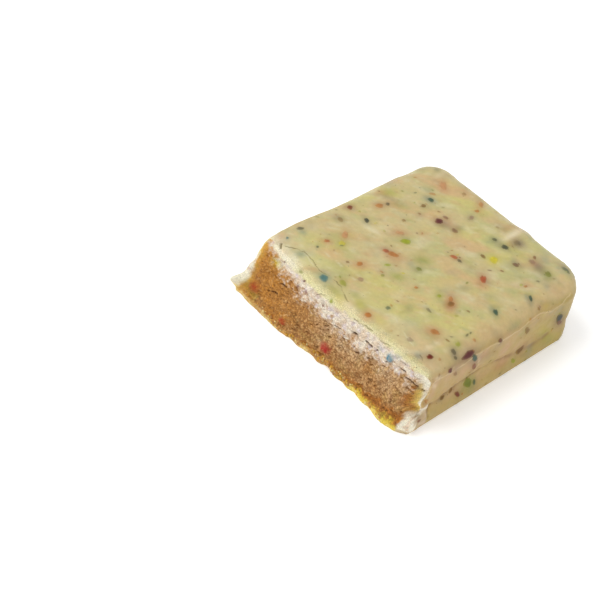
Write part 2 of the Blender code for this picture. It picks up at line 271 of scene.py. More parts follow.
def settled(points):
    x, y, z = points.T
    new_x = x + shift_of_walls(x, y, z) + SHIFT_ACROSS
    new_y = y + shift_of_ends(x, y, z)
    new_z = z + ramp(z, *HIGH_FADE) * shift_of_top(x, y)
    return np.column_stack([new_x, new_y, new_z])


# %% [markdown]
# ## The torn rim
#
# Where the bar broke, the icing tore. On the right its rim is torn back to a slant, with a notch
# and a foot low down. On the left a flap is pulled sideways and out. Over the top there is no sharp
# edge: the icing was smeared down over the crumb. The pull fades out over a few millimetres into
# the bar, so that the mesh never folds back on itself.

# %% Torn rim
RAGGED_DEPTH, RAGGED_SIZE = 0.5, 2.2
RIM_NOTCH, NOTCH_FADE = Swell(1.6, 4.3, 1.3), (18.2, 19.6)
RIM_FOOT, RIM_FADE = Swell(-0.9, 1.9, 1.2), (16.5, 19.0)
RIM_SLANT, SLANT_FADE = Swell(1.7, 9.5, 3.8), (18.2, 20.0)
TORN_FLAP, FLAP_FADE = (Swell(1.5, 2.4, 1.5), Swell(0.8, 5.3, 1.5)), (18.5, 20.0)
FLAP_OUT = Swell(-1.4, 2.2, 1.3)
RIM_REACH, FLAP_REACH = 5.0, 2.5
SMEARED_EDGE, TORN_EDGE, RAGGED_EDGE = 1.5, 0.45, (0.5, 2.0)


def soften_break(points):
    """Rounds the edges of the broken face: widely along the top, and a little at both sides."""
    x, y, z = points.T
    near = y - BREAK_LINE
    out, up = corner_shift(1 - near / SMEARED_EDGE, 1 - (HEIGHT - z) / SMEARED_EDGE)
    out_side, side = corner_shift(1 - near / TORN_EDGE, 1 - (WIDTH / 2 - np.abs(x)) / TORN_EDGE)
    new_y = y - out * SMEARED_EDGE - out_side * TORN_EDGE
    return np.column_stack([x + np.sign(x) * side * TORN_EDGE, new_y, z + up * SMEARED_EDGE])


def torn_shift(points):
    """How far the tear moves each point of the block: along the bar at the rim, and out at the flap."""
    x, y, z = points.T
    fade = by_break(y, RIM_REACH)
    flap_fade = by_break(y, FLAP_REACH)
    ragged = RAGGED_DEPTH * rough(np.column_stack([x, 0 * x, z]), RAGGED_SIZE)
    edge = fall(np.minimum(WIDTH / 2 - np.abs(x), z), *RAGGED_EDGE)
    right = ramp(x, *NOTCH_FADE) * swell(z, RIM_NOTCH) + ramp(x, *SLANT_FADE) * swell(z, RIM_SLANT)
    right = right + ramp(x, *RIM_FADE) * swell(z, RIM_FOOT)
    left = ramp(-x, *FLAP_FADE)
    pulled = (ragged * edge + right) * fade + left * swell(z, FLAP_OUT) * flap_fade
    return np.column_stack([-left * swell(z, *TORN_FLAP) * flap_fade, pulled, 0 * x])


def shaped(points, layer):
    """From the plain block to the finished form, for the points of one layer."""
    if layer is OUTSIDE:
        return settled(rounded(soften_break(points), layer)) + torn_shift(points)
    return settled(rounded(points, layer))


# %% [markdown]
# ## A shell of cells
#
# The icing is one closed surface, so it is laid out as the outside of a box of small cells. They
# are a fifth of a millimetre wide and high. Along the bar they are an eighth next to the break, where
# the cracks are, and two fifths beyond. The lines between cells fall exactly on the edge of the
# hollow, so the broken face divides cleanly into the icing's rim and the dough. The dough's share of
# the face is cut finer still, for its grain.

# %% Cell lines
CELL, CRACK_CELL, FAR_CELL, CRACK_ZONE = 0.2, 0.125, 0.4, 5.0
FINER = 2
FRONT = 2

lines_x = np.linspace(-WIDTH / 2, WIDTH / 2, round(WIDTH / CELL) + 1)
lines_z = np.linspace(0, HEIGHT, round(HEIGHT / CELL) + 1)
fine_y = np.linspace(BREAK_LINE, BREAK_LINE + CRACK_ZONE, round(CRACK_ZONE / CRACK_CELL) + 1)
far_length = FAR_END - BREAK_LINE - CRACK_ZONE
far_y = np.linspace(BREAK_LINE + CRACK_ZONE, FAR_END, round(far_length / FAR_CELL) + 1)
lines_y = np.concatenate([fine_y, far_y[1:]])


def squares(number):
    """The square faces of a grid of point numbers, four points to a face."""
    return np.stack([number[:-1, :-1], number[1:, :-1], number[1:, 1:], number[:-1, 1:]], axis=-1)


def shell(along_x, along_y, along_z):
    """The outside of a box of cells: its points, its six sheets of faces, and which point is where."""
    counts = (len(along_x), len(along_y), len(along_z))
    places = np.indices(counts).reshape(3, -1).T
    outer = ((places == 0) | (places == np.array(counts) - 1)).any(axis=1)
    number = np.full(counts, -1)
    number[tuple(places[outer].T)] = np.arange(outer.sum())
    found = places[outer]
    points = np.column_stack([along_x[found[:, 0]], along_y[found[:, 1]], along_z[found[:, 2]]])
    sides = []
    for axis in range(3):
        for end in (0, -1):
            sheet = squares(np.take(number, end, axis=axis))
            sides.append(sheet if (end == -1) != (axis == 1) else sheet[..., ::-1])
    return points, sides, number


block_points, block_sides, block_number = shell(lines_x, lines_y, lines_z)
face_number = block_number[:, 0, :]
print("shell:", len(block_points), "points,", sum(side.size // 4 for side in block_sides), "faces")

# %% Where the broken face divides
inner_x = np.flatnonzero(np.abs(lines_x) < WIDTH / 2 - SIDE_SKIN + HAIR)
inner_z = np.flatnonzero((lines_z > BASE_SKIN - HAIR) & (lines_z < HEIGHT - TOP_SKIN + HAIR))
first_x, last_x, first_z, last_z = inner_x[0], inner_x[-1], inner_z[0], inner_z[-1]
front = block_sides[FRONT]
is_dough = np.zeros(front.shape[:2], bool)
is_dough[first_x:last_x, first_z:last_z] = True
icing_sheets = [sheet.reshape(-1, 4) for number, sheet in enumerate(block_sides) if number != FRONT]
icing_faces = np.concatenate(icing_sheets + [front[~is_dough]])

count_x, count_z = last_x - first_x + 1, last_z - first_z + 1
dough_x = np.linspace(lines_x[first_x], lines_x[last_x], (count_x - 1) * FINER + 1)
dough_z = np.linspace(lines_z[first_z], lines_z[last_z], (count_z - 1) * FINER + 1)
dough_number = np.arange(len(dough_x) * len(dough_z)).reshape(len(dough_x), len(dough_z))
print("the dough shows in", int(is_dough.sum()), "of", is_dough.size, "cells of the broken face")

# %% [markdown]
# ## Crumb
#
# Broken dough is grains pressed together: clods of a millimetre or two, grains of half a millimetre
# on them, and short fissures, more or less level, where it parted. Voronoi distance gives rounded
# grains with creases between them, which plain noise doesn't. A fissure is where a stretched noise
# crosses zero. Where icing was smeared over the crumb, it is filled in and flatter. Four chunks of
# confetti sit in the dough, as in the solid.

# %% Crumb sizes
CLOD_DEPTH, CLOD_SIZE, SMALL_CLOD_SIZE = 0.42, 1.5, 1.5 / 2.2
GRAIN_SIZE, GRAIN_HEIGHT, GRAIN_RADIUS = 0.42, 0.07, 0.62
FINE_GRAIN_SIZE, FINE_GRAIN_HEIGHT, FINE_SHARE, FINE_SHIFT, SHADE_STEP = 0.24, 0.05, 0.4, 9.0, 7.3
FISSURE_SIZE, FISSURE_STRETCH, FISSURE_WIDTH, FISSURE_DEPTH = 0.85, (0.5, 1.0, 1.6), 0.07, 0.16
BREAK_SIZE, BREAK_RANGE, PIT_SIZE, PIT_RANGE = 1.7, (0.05, 0.3), 0.42, (0.38, 0.38 + 0.2)
FILLED_IN, EDGE_CALM, CALMEST = 0.5, 1.6, 0.3

Ripple = namedtuple("Ripple", "height length seed")
SMEAR_RAGGED = (Ripple(1.7, 2.3, 3.0), Ripple(1.8, 0.8, 5.0), Ripple(1.0, 0.4, 6.0))
SMEAR_EDGE = (-2.4, 1.2)

Chunk = namedtuple("Chunk", "x z radius colour")
CHUNKS = (
    Chunk(-17.1, 3.4, 1.15, "berry"), Chunk(-10.0, 2.3, 0.7, "berry"),
    Chunk(-0.5, 3.6, 1.15, "cherry"), Chunk(11.8, 11.4, 0.85, "blue"))
CHUNK_HEIGHT, CHUNK_CALM = 0.4, 0.7

# Where the smeared icing ends on the crumb, as heights across the face, and where the yellow fringe does.
SMEAR_X = (-19.4, -18.1, -16.4, -15.0, -13.6, -10.5, -7.2, -4.5, -1.0, 2.4, 8.3, 11.3, 14.6, 17.8)
SMEAR_Z = (14.4, 13.4, 12.6, 12.2, 11.2, 11.0, 10.2, 10.3, 9.4, 9.0, 9.2, 10.1, 10.8, 11.0)
FRINGE_X = (-15.0, -9.6, -4.7, 0.0, 4.9, 9.8, 14.3, 18.6)
FRINGE_Z = (0.6, 0.6, 0.8, 1.2, 1.7, 1.5, 2.3, 2.2)

Crumb = namedtuple("Crumb", "depth crease shade fissure cover")


# %% Crumb relief
def grains(place, size):
    """Rounded grains, 1 on top of each and 0 in the creases, and a chance shade for each grain."""
    tops, shades = [], []
    for point in (place / size).tolist():
        distances, centres = noise.voronoi(point)
        tops.append(1 - min(1, distances[0] / GRAIN_RADIUS) ** 2)
        shades.append(noise.cell(centres[0] * SHADE_STEP))
    return np.array(tops), np.array(shades)


def smeared(flat):
    """How much icing is smeared over the crumb, 0 to 1. Its edge is ragged and patchy."""
    across, up = flat.T
    ragged = sum(each.height * rough(upright(flat), each.length, each.seed) for each in SMEAR_RAGGED)
    return ramp(up - np.interp(across, SMEAR_X, SMEAR_Z) + ragged, *SMEAR_EDGE)


def chunk_at(flat, chunk):
    """1 in the middle of a chunk of confetti and 0 outside it."""
    away = np.hypot(flat[:, 0] - chunk.x, flat[:, 1] - chunk.z) / chunk.radius
    return np.exp(-(away**4))


def crumb_of(flat):
    """All that the crumb needs for its relief and its colour, for places across and up the face."""
    place = upright(flat)
    clods = CLOD_DEPTH * (rough(place, CLOD_SIZE) + 0.5 * rough(place, SMALL_CLOD_SIZE))
    coarse, shade = grains(place, GRAIN_SIZE)
    fine, fine_shade = grains(place + FINE_SHIFT, FINE_GRAIN_SIZE)
    level = place * FISSURE_STRETCH
    crossing = np.abs(rough(level, FISSURE_SIZE, 61.0))
    gaps = patches(level, BREAK_SIZE, 63.0, *BREAK_RANGE)
    pits = patches(level, PIT_SIZE, 67.0, *PIT_RANGE)
    lumps = sum(chunk_at(flat, chunk) for chunk in CHUNKS)
    fissure = np.maximum(fall(crossing, 0.0, FISSURE_WIDTH) * gaps, pits) * (1 - lumps)
    cover = smeared(flat)
    inside = np.minimum(WIDTH / 2 - np.abs(flat[:, 0]), np.minimum(flat[:, 1], HEIGHT - flat[:, 1]))
    calm = (1 - FILLED_IN * cover) * (CALMEST + (1 - CALMEST) * ramp(inside, 0.0, EDGE_CALM))
    depth = clods - GRAIN_HEIGHT * coarse - FINE_GRAIN_HEIGHT * fine + FISSURE_DEPTH * fissure
    depth = depth * calm * (1 - CHUNK_CALM * lumps) - CHUNK_HEIGHT * lumps
    crease = 1 - (1 - FINE_SHARE) * coarse - FINE_SHARE * fine
    return Crumb(depth, crease, (1 - FINE_SHARE) * shade + FINE_SHARE * fine_shade, fissure, cover)


# %% The broken face
def broken_face(along_x, along_z):
    """The broken face on its own lines: its flat places, its crumb, and its points, one row for each."""
    flat = np.stack(np.meshgrid(along_x, along_z, indexing="ij"), axis=-1).reshape(-1, 2)
    block = np.column_stack([flat[:, 0], np.full(len(flat), BREAK_LINE), flat[:, 1]])
    crumb = crumb_of(flat)
    points = shaped(block, OUTSIDE)
    points[:, 1] += crumb.depth
    return flat, crumb, points


rim_flat, rim_crumb, rim_points = broken_face(lines_x, lines_z)
dough_flat, dough_crumb, dough_points = broken_face(dough_x, dough_z)
icing_points = shaped(block_points, OUTSIDE)
icing_points[face_number.ravel()] = rim_points
print("crumb depth in mm:", dough_crumb.depth.min().round(2), "to", dough_crumb.depth.max().round(2))

# %% [markdown]
# ## Lines in the icing
#
# A pale crease runs along the top of the long wall, where the icing folded as it set, with a seam
# down from it. Below it the wall has a groove at its waist. On the top, hairline cracks follow the
# break and a few pale scratches cross the icing. Three of the pale lines are painted highlights
# instead: glints beside two flecks and one streak on the top. Short dark gaps open in the smear and
# below it. Each is a line of pixels, cast onto the surface. The mesh is then pushed in or out along
# it, so that a line is a real groove or ridge, and its colour follows the same distance. The dark of
# the groove, the cracks and the gaps is painted shade in them. Noise lets it come and go.

# %% What the photograph shows of them
Line = namedtuple("Line", "width height pixels")
CREASES = [
    Line(0.16, 0.07, [(434, 382), (444, 377), (455, 371), (466, 363), (479, 353), (489, 347), (498, 343)]),
    Line(0.16, 0.07, [(498, 343), (508, 337), (518, 331), (529, 322), (540, 313.5), (552, 311)]),
    Line(0.15, 0.04, [(552, 311), (563, 304), (571, 293)]),
    Line(0.17, 0.09, [(483, 350), (478.5, 355), (478.5, 364), (475, 370), (472.5, 374)]),
    Line(0.2, 0.05, [(434, 382), (429, 391), (427, 399)]),
]
GROOVES = [
    Line(0.35, -0.2, [(430, 405), (440, 399), (451, 389), (466, 379), (481, 369), (493, 362), (506, 357)]),
    Line(0.5, -0.1, [(506, 357), (530, 346), (548, 334)]),
    Line(0.25, -0.3, [(430, 404.5), (428.5, 407), (427.6, 411), (428, 417)]),
    Line(0.2, -0.2, [(420, 411.5), (417, 414), (414.5, 418)]),
]
CRACKS = [
    Line(0.2, -0.35, [(281.4, 244), (280.8, 246.5), (280, 249)]),
    Line(0.09, -0.14, [(285, 246), (291, 246.5), (298, 249), (302, 250.5)]),
    Line(0.07, -0.12, [(302, 250.5), (305, 252), (310, 256), (314, 262), (319, 269)]),
    Line(0.07, -0.12, [(319, 269), (325, 273), (332, 277), (337, 281)]),
    Line(0.09, -0.14, [(337, 281), (341, 286), (343, 290), (345, 295), (348, 301)]),
    Line(0.1, -0.2, [(354, 319), (358, 322), (364, 325), (372, 331)]),
    Line(0.11, -0.2, [(380, 341), (385, 344), (390, 347)]),
    Line(0.1, -0.12, [(420, 354), (422, 358), (423, 361)]),
]
GAPS = [
    Line(0.26, -0.4, [(353.5, 332.5), (356.5, 334.5), (359.5, 336)]),
    Line(0.28, -0.4, [(365.5, 342), (368, 343.5), (371.5, 347)]),
    Line(0.22, -0.25, [(375, 351.5), (377.5, 350)]),
    Line(0.17, -0.35, [(386, 362), (390, 364), (394, 367.5)]),
    Line(0.17, -0.35, [(397.5, 367), (402, 370), (405, 372.5)]),
    Line(0.18, -0.4, [(406, 378), (410, 381.2), (413.5, 384.6), (416, 387.2), (419, 389), (422.5, 391)]),
    Line(0.32, -0.35, [(414.5, 386), (417, 387.6)]),
    Line(0.12, -0.3, [(400, 361), (403, 363), (406, 364.5)]),
    Line(0.1, -0.25, [(316, 295), (321, 294.6), (326, 295.4)]),
    Line(0.17, -0.3, [(367, 357.5), (369, 359), (371.5, 361)]),
    Line(0.18, -0.3, [(354.5, 352.5), (358.5, 354.5)]),
    Line(0.13, -0.25, [(325, 326), (330, 325.5), (335, 326), (340, 330)]),
    Line(0.2, -0.3, [(280.5, 284), (283, 285), (286, 287.5)]),
    Line(0.22, -0.3, [(267, 289.5), (270.5, 291.7), (273, 291.5), (277, 294.3)]),
]
SCRATCHES_AND_GLINTS = [
    Line(0.12, 0.03, [(345, 270), (350, 275), (356, 280), (362, 283), (368, 289)]),
    Line(0.12, 0.02, [(326, 254), (331, 257), (338, 262), (345, 270)]),
    Line(0.12, 0.03, [(393, 313), (396, 320), (401, 328), (407, 338), (413, 346)]),
    # painted highlight: a pale streak on the top
    Line(0.3, 0.04, [(366, 225), (370, 228), (376, 232), (382, 236)]),
    Line(0.14, 0.03, [(307, 254), (310, 260), (314, 266)]),
    # this line and the next are painted glints beside dark flecks
    Line(0.14, 0.06, [(451, 373), (454, 368), (457, 364)]),
    Line(0.16, 0.05, [(499, 343.5), (502, 339), (505, 337)]),
]
LINES = {
    "crease": (CREASES, 0.55), "groove": (GROOVES, 0.6), "crack": (CRACKS, 0.5), "gap": (GAPS, 0.3),
    "scratch_and_glint": (SCRATCHES_AND_GLINTS, 0.1)}
LINE_WOBBLE, WOBBLE_LENGTH, LINE_STEP, LINE_REACH = 1.1, 3.0, 1.5, 2.0
LINE_PATCH, LINE_PATCH_RANGE = 1.6, (-0.35, 0.2)

# %% Cast pixels onto the bar
bare_faces = np.concatenate([sheet.reshape(-1, 4) for sheet in block_sides])
bare_bar = BVHTree.FromPolygons(icing_points.tolist(), bare_faces.tolist())


def cast(x, y, tree):
    """Where the line of sight through a pixel meets the bar, and the way out of it there."""
    place, normal, face, _ = tree.ray_cast(Vector(CAMERA_PLACE), Vector(sight(x, y)))
    return (np.array(place), np.array(normal)) if place else (None, None)


def cast_line(pixels):
    """A line of pixels as points on the bar, a little crooked, with a point every pixel or two."""
    found = []
    for (x0, y0), (x1, y1) in zip(pixels, pixels[1:]):
        steps = max(1, round(math.hypot(x1 - x0, y1 - y0) / LINE_STEP))
        for step in range(steps + 1):
            x, y = x0 + (x1 - x0) * step / steps, y0 + (y1 - y0) * step / steps
            crook = [noise.noise((x / WOBBLE_LENGTH, y / WOBBLE_LENGTH, seed)) for seed in (0.0, 9.5)]
            place, _ = cast(x + LINE_WOBBLE * crook[0], y + LINE_WOBBLE * crook[1], bare_bar)
            if place is not None:
                found.append(place)
    return np.array(found)


# %% How the mesh feels a line
def felt_along(points, line, least, seed):
    """How strongly each point feels a line, 0 to 1. Along it, that falls now and then to the least share."""
    traced = cast_line(line.pixels)
    felt = np.zeros(len(points))
    near = np.all((points > traced.min(0) - LINE_REACH) & (points < traced.max(0) + LINE_REACH), axis=1)
    found = points[near]
    nearest = np.full(len(found), np.inf)
    for start, end in zip(traced, traced[1:]):
        way = end - start
        share = np.clip((found - start) @ way / max(way @ way, TINY), 0, 1)
        nearest = np.minimum(nearest, np.linalg.norm(found - start - share[:, None] * way, axis=1))
    patchy = least + (1 - least) * patches(found, LINE_PATCH, seed, *LINE_PATCH_RANGE)
    felt[near] = np.exp(-((nearest / line.width) ** 2)) * patchy
    return felt


def lines_on(points):
    """How strongly each point feels each kind of line, and how far all of them push it."""
    strength, push = {}, np.zeros(len(points))
    for kind, (lines, least) in LINES.items():
        strength[kind] = np.zeros(len(points))
        for number, line in enumerate(lines):
            felt = felt_along(points, line, least, 10.0 * number)
            strength[kind] = np.maximum(strength[kind], felt)
            push += felt * line.height
    return strength, push


# %% Push the mesh in and out along them
def crossed(points, faces):
    """For each square face the way out of it, as long as twice its area."""
    corners = points[faces]
    return np.cross(corners[:, 2] - corners[:, 0], corners[:, 3] - corners[:, 1])


def normals_of(points, faces):
    """The way out at each point, from the faces round it."""
    across, summed = crossed(points, faces), np.zeros_like(points)
    for corner in range(4):
        np.add.at(summed, faces[:, corner], across)
    return summed / np.maximum(np.linalg.norm(summed, axis=1), TINY)[:, None]


icing_normals = normals_of(icing_points, bare_faces)
on_face = np.zeros(len(icing_points), bool)
on_face[face_number.ravel()] = True
icing_normals[on_face] = (0, -1, 0)

icing_lines, icing_push = lines_on(icing_points)
dough_lines, dough_push = lines_on(dough_points)
icing_points = icing_points + icing_normals * icing_push[:, None]
dough_points[:, 1] -= dough_push
for kind, strength in icing_lines.items():
    print(kind, "lines touch", int((strength > 0.1).sum()), "points of the icing")

# %% [markdown]
# ## Ripples and lumps
#
# Icing is never quite flat: it sags between lumps of dough and pulls as it sets. Three sizes of
# ripple give the soft light and dark on the top. A few lumps and dents are where the photograph
# shows them: a fold near the far end, the thick torn foot on the right, and a dent above it.

# %% Sizes of ripples and lumps
RIPPLES = (Ripple(0.12, 6.5, 11.0), Ripple(0.05, 2.6, 17.0), Ripple(0.012, 0.8, 23.0))
RIPPLE_DROP, RIPPLE_START, RIPPLE_RISE = 0.05, 2.0, 1.2
LUMP_FADE = (18.7, 19.4)

# A mark is an ellipse: the pixel of its middle, its length and width in pixels, the turn of its
# length in degrees, clockwise from the right, and an amount. A lump's amount is its height.
Mark = namedtuple("Mark", "x y long wide turn amount")
LUMPS = [
    (516, 238, 30, 9, 152, 0.16), (497, 258, 40, 16, 25, 0.06), (541, 283, 30, 12, 140, 0.1),
    (421, 416, 9, 16, 60, 0.2), (408, 424, 11, 9, 20, 0.25), (425, 402.5, 6, 5, 30, -0.3),
    (416, 411, 8, 6, 30, 0.2), (425, 406, 8, 5, 0, 0.12), (412, 417, 5, 4, 0, -0.2),
    (380, 240, 50, 12, 30, -0.08), (350, 262, 40, 10, 40, 0.06), (430, 290, 40, 14, 35, -0.07),
    (466, 395, 26, 8, 148, 0.06), (520, 345, 30, 9, 148, 0.06), (404, 333, 34, 8, 55, 0.06),
]

# %% Spots on the bar
Spot = namedtuple("Spot", "middle long wide out")
SPOT_REACH, SPOT_THROUGH = 2.5, 3.0


def spot_at(mark, tree):
    """A mark of the picture as a spot on the bar, where the line of sight through it meets the bar."""
    middle, out = cast(mark.x, mark.y, tree)
    if middle is None:
        return None
    through, ways = sight(mark.x, mark.y), []
    size = np.linalg.norm(middle - CAMERA_PLACE) * SENSOR / (LENS * PICTURE)
    for reach, angle in ((mark.long / 2, mark.turn), (mark.wide / 2, mark.turn + 90)):
        turn = math.radians(angle)
        sideways = camera_right * math.cos(turn) - camera_up * math.sin(turn)
        ways.append((sideways - through * (sideways @ out) / (through @ out)) * size * reach)
    return Spot(middle, ways[0], ways[1], out)


def felt_near(points, spot, spread=1.0):
    """Which points feel a spot, and how strongly, 0 to 1."""
    reach = SPOT_REACH * spread * max(np.linalg.norm(spot.long), np.linalg.norm(spot.wide))
    near = np.flatnonzero(np.all(np.abs(points - spot.middle) < reach, axis=1))
    sides = np.column_stack([spot.long, spot.wide, spot.out])
    local = np.linalg.solve(sides, (points[near] - spot.middle).T).T / spread
    return near, np.exp(-(local[:, 0] ** 2 + local[:, 1] ** 2)) * (np.abs(local[:, 2]) < SPOT_THROUGH)


# %% Push ripples and lumps in
calm = ramp(block_points[:, 1], BREAK_LINE, BREAK_LINE + RIPPLE_START)
calm = calm * ramp(block_points[:, 2], 0.0, RIPPLE_RISE)
moved = -RIPPLE_DROP * calm
for ripple in RIPPLES:
    moved = moved + ripple.height * calm * rough(block_points, ripple.length, ripple.seed)
for row in LUMPS:
    mark = Mark(*row)
    spot = spot_at(mark, bare_bar)
    near, felt = felt_near(icing_points, spot)
    on_rim = np.where(on_face[near], ramp(block_points[near, 0], *LUMP_FADE), 1)
    moved[near] += mark.amount * felt * on_rim
icing_points = icing_points + icing_normals * moved[:, None]
icing_points[:, 2] = np.maximum(icing_points[:, 2], 0.0)
print("icing box in mm:", icing_points.min(0).round(2), icing_points.max(0).round(2))

# %% [markdown]
# ## One skin to colour
#
# The icing and the dough's face meet along the edge of the hollow, where their points are the same.
# They are coloured together as one skin, so that no seam shows, and are parted again at the end.

# %% One skin
for edge in (dough_number[:, 0], dough_number[:, -1], dough_number[0], dough_number[-1]):
    dough_points[edge[1::2]] = (dough_points[edge[:-1:2]] + dough_points[edge[2::2]]) / 2
icing_share = icing_points[block_number[first_x:last_x + 1, 0, first_z:last_z + 1]]
coarse_number = dough_number[::FINER, ::FINER]
for edge in ((slice(None), 0), (slice(None), -1), (0, slice(None)), (-1, slice(None))):
    dough_points[coarse_number[edge]] = icing_share[edge]

skin_points = np.concatenate([icing_points, dough_points])
dough_faces = squares(dough_number).reshape(-1, 4)
skin_faces = np.concatenate([icing_faces, dough_faces + len(icing_points)])
skin_tree = BVHTree.FromPolygons(skin_points.tolist(), skin_faces.tolist())
print("skin:", len(skin_points), "points")

# %% [markdown]
# ## Colour
#
# The icing isn't one colour. It is cream, yellower or greener in some patches and peach in others,
# and tan on the walls. All colour is worked out for each point of the mesh and kept as a colour
# attribute, which the material reads. Colours are given as they look on a screen and turned into
# the linear values that a shader works with.


# %% Colour helpers
def linear(red, green, blue):
    """A screen colour, 0 to 255 a channel, as linear light."""
    share = np.array([red, green, blue]) / 255
    return np.where(share <= 0.04045, share / 12.92, ((share + 0.055) / 1.055) ** 2.4)


def blend(under, over, amount):
    """One colour over another, by an amount for each point."""
    return under + (np.asarray(over) - under) * np.clip(amount, 0, 1)[:, None]


def layered(tint, *coats):
    """A tint with coats laid over it in turn: each a colour and an amount for each point."""
    for colour, amount in coats:
        tint = blend(tint, colour, amount)
    return tint


# %% Colours of the icing
CREAM = linear(194, 178, 126)
YELLOW_CREAM = linear(194, 184, 112)
PEACH = linear(200, 168, 120)
GREENISH = linear(178, 176, 116)
GREYISH = linear(182, 174, 134)
PALE_CREAM = linear(208, 199, 158)
WALL_TAN = linear(180, 149, 88)
WALL_PEACH = linear(186, 147, 101)
WALL_YELLOW = linear(173, 148, 70)
FAR_OLIVE = linear(162, 140, 54)

# %% The icing's own colour
WALL_TURN, PATCH_EDGE = (0.25, 0.8), 0.5
FLOW, FLOW_STRETCH = np.array([[0.87, -0.5, 0], [0.5, 0.87, 0], [0, 0, 1]]), [0.55, 1.0, 1.0]
# Each row is a colour, the size and seed of its patches, how high their noise starts, and its share.
TOP_PATCHES = (
    (YELLOW_CREAM, 6.0, 31.0, -0.1, 0.9), (PEACH, 4.6, 37.0, 0.0, 0.85), (GREENISH, 3.2, 41.0, 0.1, 0.7),
    (PALE_CREAM, 2.4, 43.0, 0.15, 0.5), (PEACH, 1.5, 44.0, 0.15, 0.45), (GREENISH, 1.3, 45.0, 0.2, 0.4),
    (GREYISH, 1.9, 46.0, 0.2, 0.5), (PALE_CREAM, 0.8, 49.0, 0.15, 0.35), (PEACH, 0.7, 50.0, 0.2, 0.35))

wall = fall(icing_normals[:, 2], *WALL_TURN)
place = icing_points - [SHIFT_ACROSS, 0, 0]
streaked = place @ FLOW * FLOW_STRETCH
icing_tint = CREAM
for colour, size, seed, start, most in TOP_PATCHES:
    icing_tint = blend(icing_tint, colour, patches(streaked, size, seed, start, start + PATCH_EDGE) * most)
wall_tint = layered(
    WALL_TAN, (WALL_PEACH, patches(place, 2.8, 47.0, -0.1, 0.5) * 0.8),
    (WALL_YELLOW, patches(place, 3.4, 48.0, 0.0, 0.5) * 0.5),
    (WALL_YELLOW, fall(place[:, 2], 2.2, 4.4) * 0.7),
    (FAR_OLIVE, ramp(place[:, 1], 4.0, 16.0) * 0.6))
icing_tint = layered(
    icing_tint, (PEACH, 0.55 * ramp(place[:, 0], 15.5, 18.5) * (1 - wall)), (wall_tint, wall))
print("icing tint, mean:", icing_tint.mean(0).round(3))

# %% [markdown]
# ## Colour of the broken end
#
# Low down the dough is tan to caramel, speckled, and orange towards the left. Over it lies the
# smear, white to pinkish, patchy at its edge. The yellow fringe runs along the left side, the
# bottom and the right side, and the torn icing itself is nearly white. Creases between grains and
# fissures are darker, as the light hardly gets into them.

# %% Colours of the broken end
DOUGH_TAN = linear(182, 134, 78)
DOUGH_ORANGE = linear(184, 126, 52)
DOUGH_PALE = linear(214, 174, 118)
DOUGH_DARK = linear(150, 98, 48)
SMEAR_WHITE = linear(230, 220, 200)
SMEAR_PINK = linear(206, 178, 148)
SMEAR_LILAC = linear(210, 199, 202)
FRINGE_YELLOW = linear(216, 186, 66)
FRINGE_GOLD = linear(200, 152, 60)
FRINGE_ORANGE = linear(172, 106, 38)
LIP_CREAM = linear(218, 196, 130)
LIP_PEACH = linear(198, 152, 80)
EDGE_CREAM = linear(212, 204, 158)
TORN_WHITE = linear(234, 227, 204)
TORN_PINK = linear(204, 180, 154)
TORN_FOOT_TAN_AND_SHADE = linear(184, 158, 114)
CREVICE = linear(112, 70, 30)
LIP_YELLOW = linear(228, 204, 112)
LIP_GLAZE = linear(226, 200, 70)
DUSTED = linear(212, 184, 144)
DOUGH_OLIVE = linear(176, 146, 84)
RIGHT_LIP_Z, RIGHT_LIP = (5.5, 7.0, 10.0, 13.0), (0.2, 0.45, 0.7, 1.3)
LEFT_LIP_Z, LEFT_LIP = (0.0, 1.6, 3.0, 6.5, 10.0, 12.0), (0.4, 0.8, 1.0, 0.8, 0.5, 0.3)
TORN_FOOT_Z, TORN_FOOT_X = (0.8, 1.8, 3.4, 4.7), (17.6, 17.9, 18.7, 19.4)


# %% The dough and its fringe
def dough_tint_at(flat, crumb, x, z):
    """The dough itself, speckled grain by grain, and darker or paler in patches."""
    place = upright(flat)
    patch, wide = rough(place, 1.3, 53.0), rough(place, 4.0, 55.0)
    dusting = ramp(x + 2 * wide, -6.5, -0.5) * ramp(z + 2 * wide + patch, 1.5, 8.0)
    dusting = dusting * (1 - 0.4 * ramp(x, 4.0, 10.0))
    shade = crumb.shade + 0.5 * patch
    tint = layered(
        DOUGH_TAN, (DUSTED, dusting * (0.75 + 1.3 * rough(place, 2.4, 64.0))),
        (DOUGH_OLIVE, patches(place, 1.9, 66.0, 0.1, 0.4) * ramp(x, -10.0, -6.0) * 0.45),
        (DOUGH_ORANGE, fall(x + 3 * wide, -16.0, -4.0) + 0.25 * patch),
        (DOUGH_PALE, ramp(shade, 0.1, 0.9) * (0.35 + 0.25 * ramp(x, -16.0, -8.0))),
        (DOUGH_DARK, ramp(-shade, 0.1, 0.9) * 0.45))
    return fringe_tint(tint, flat, x, z, patch)


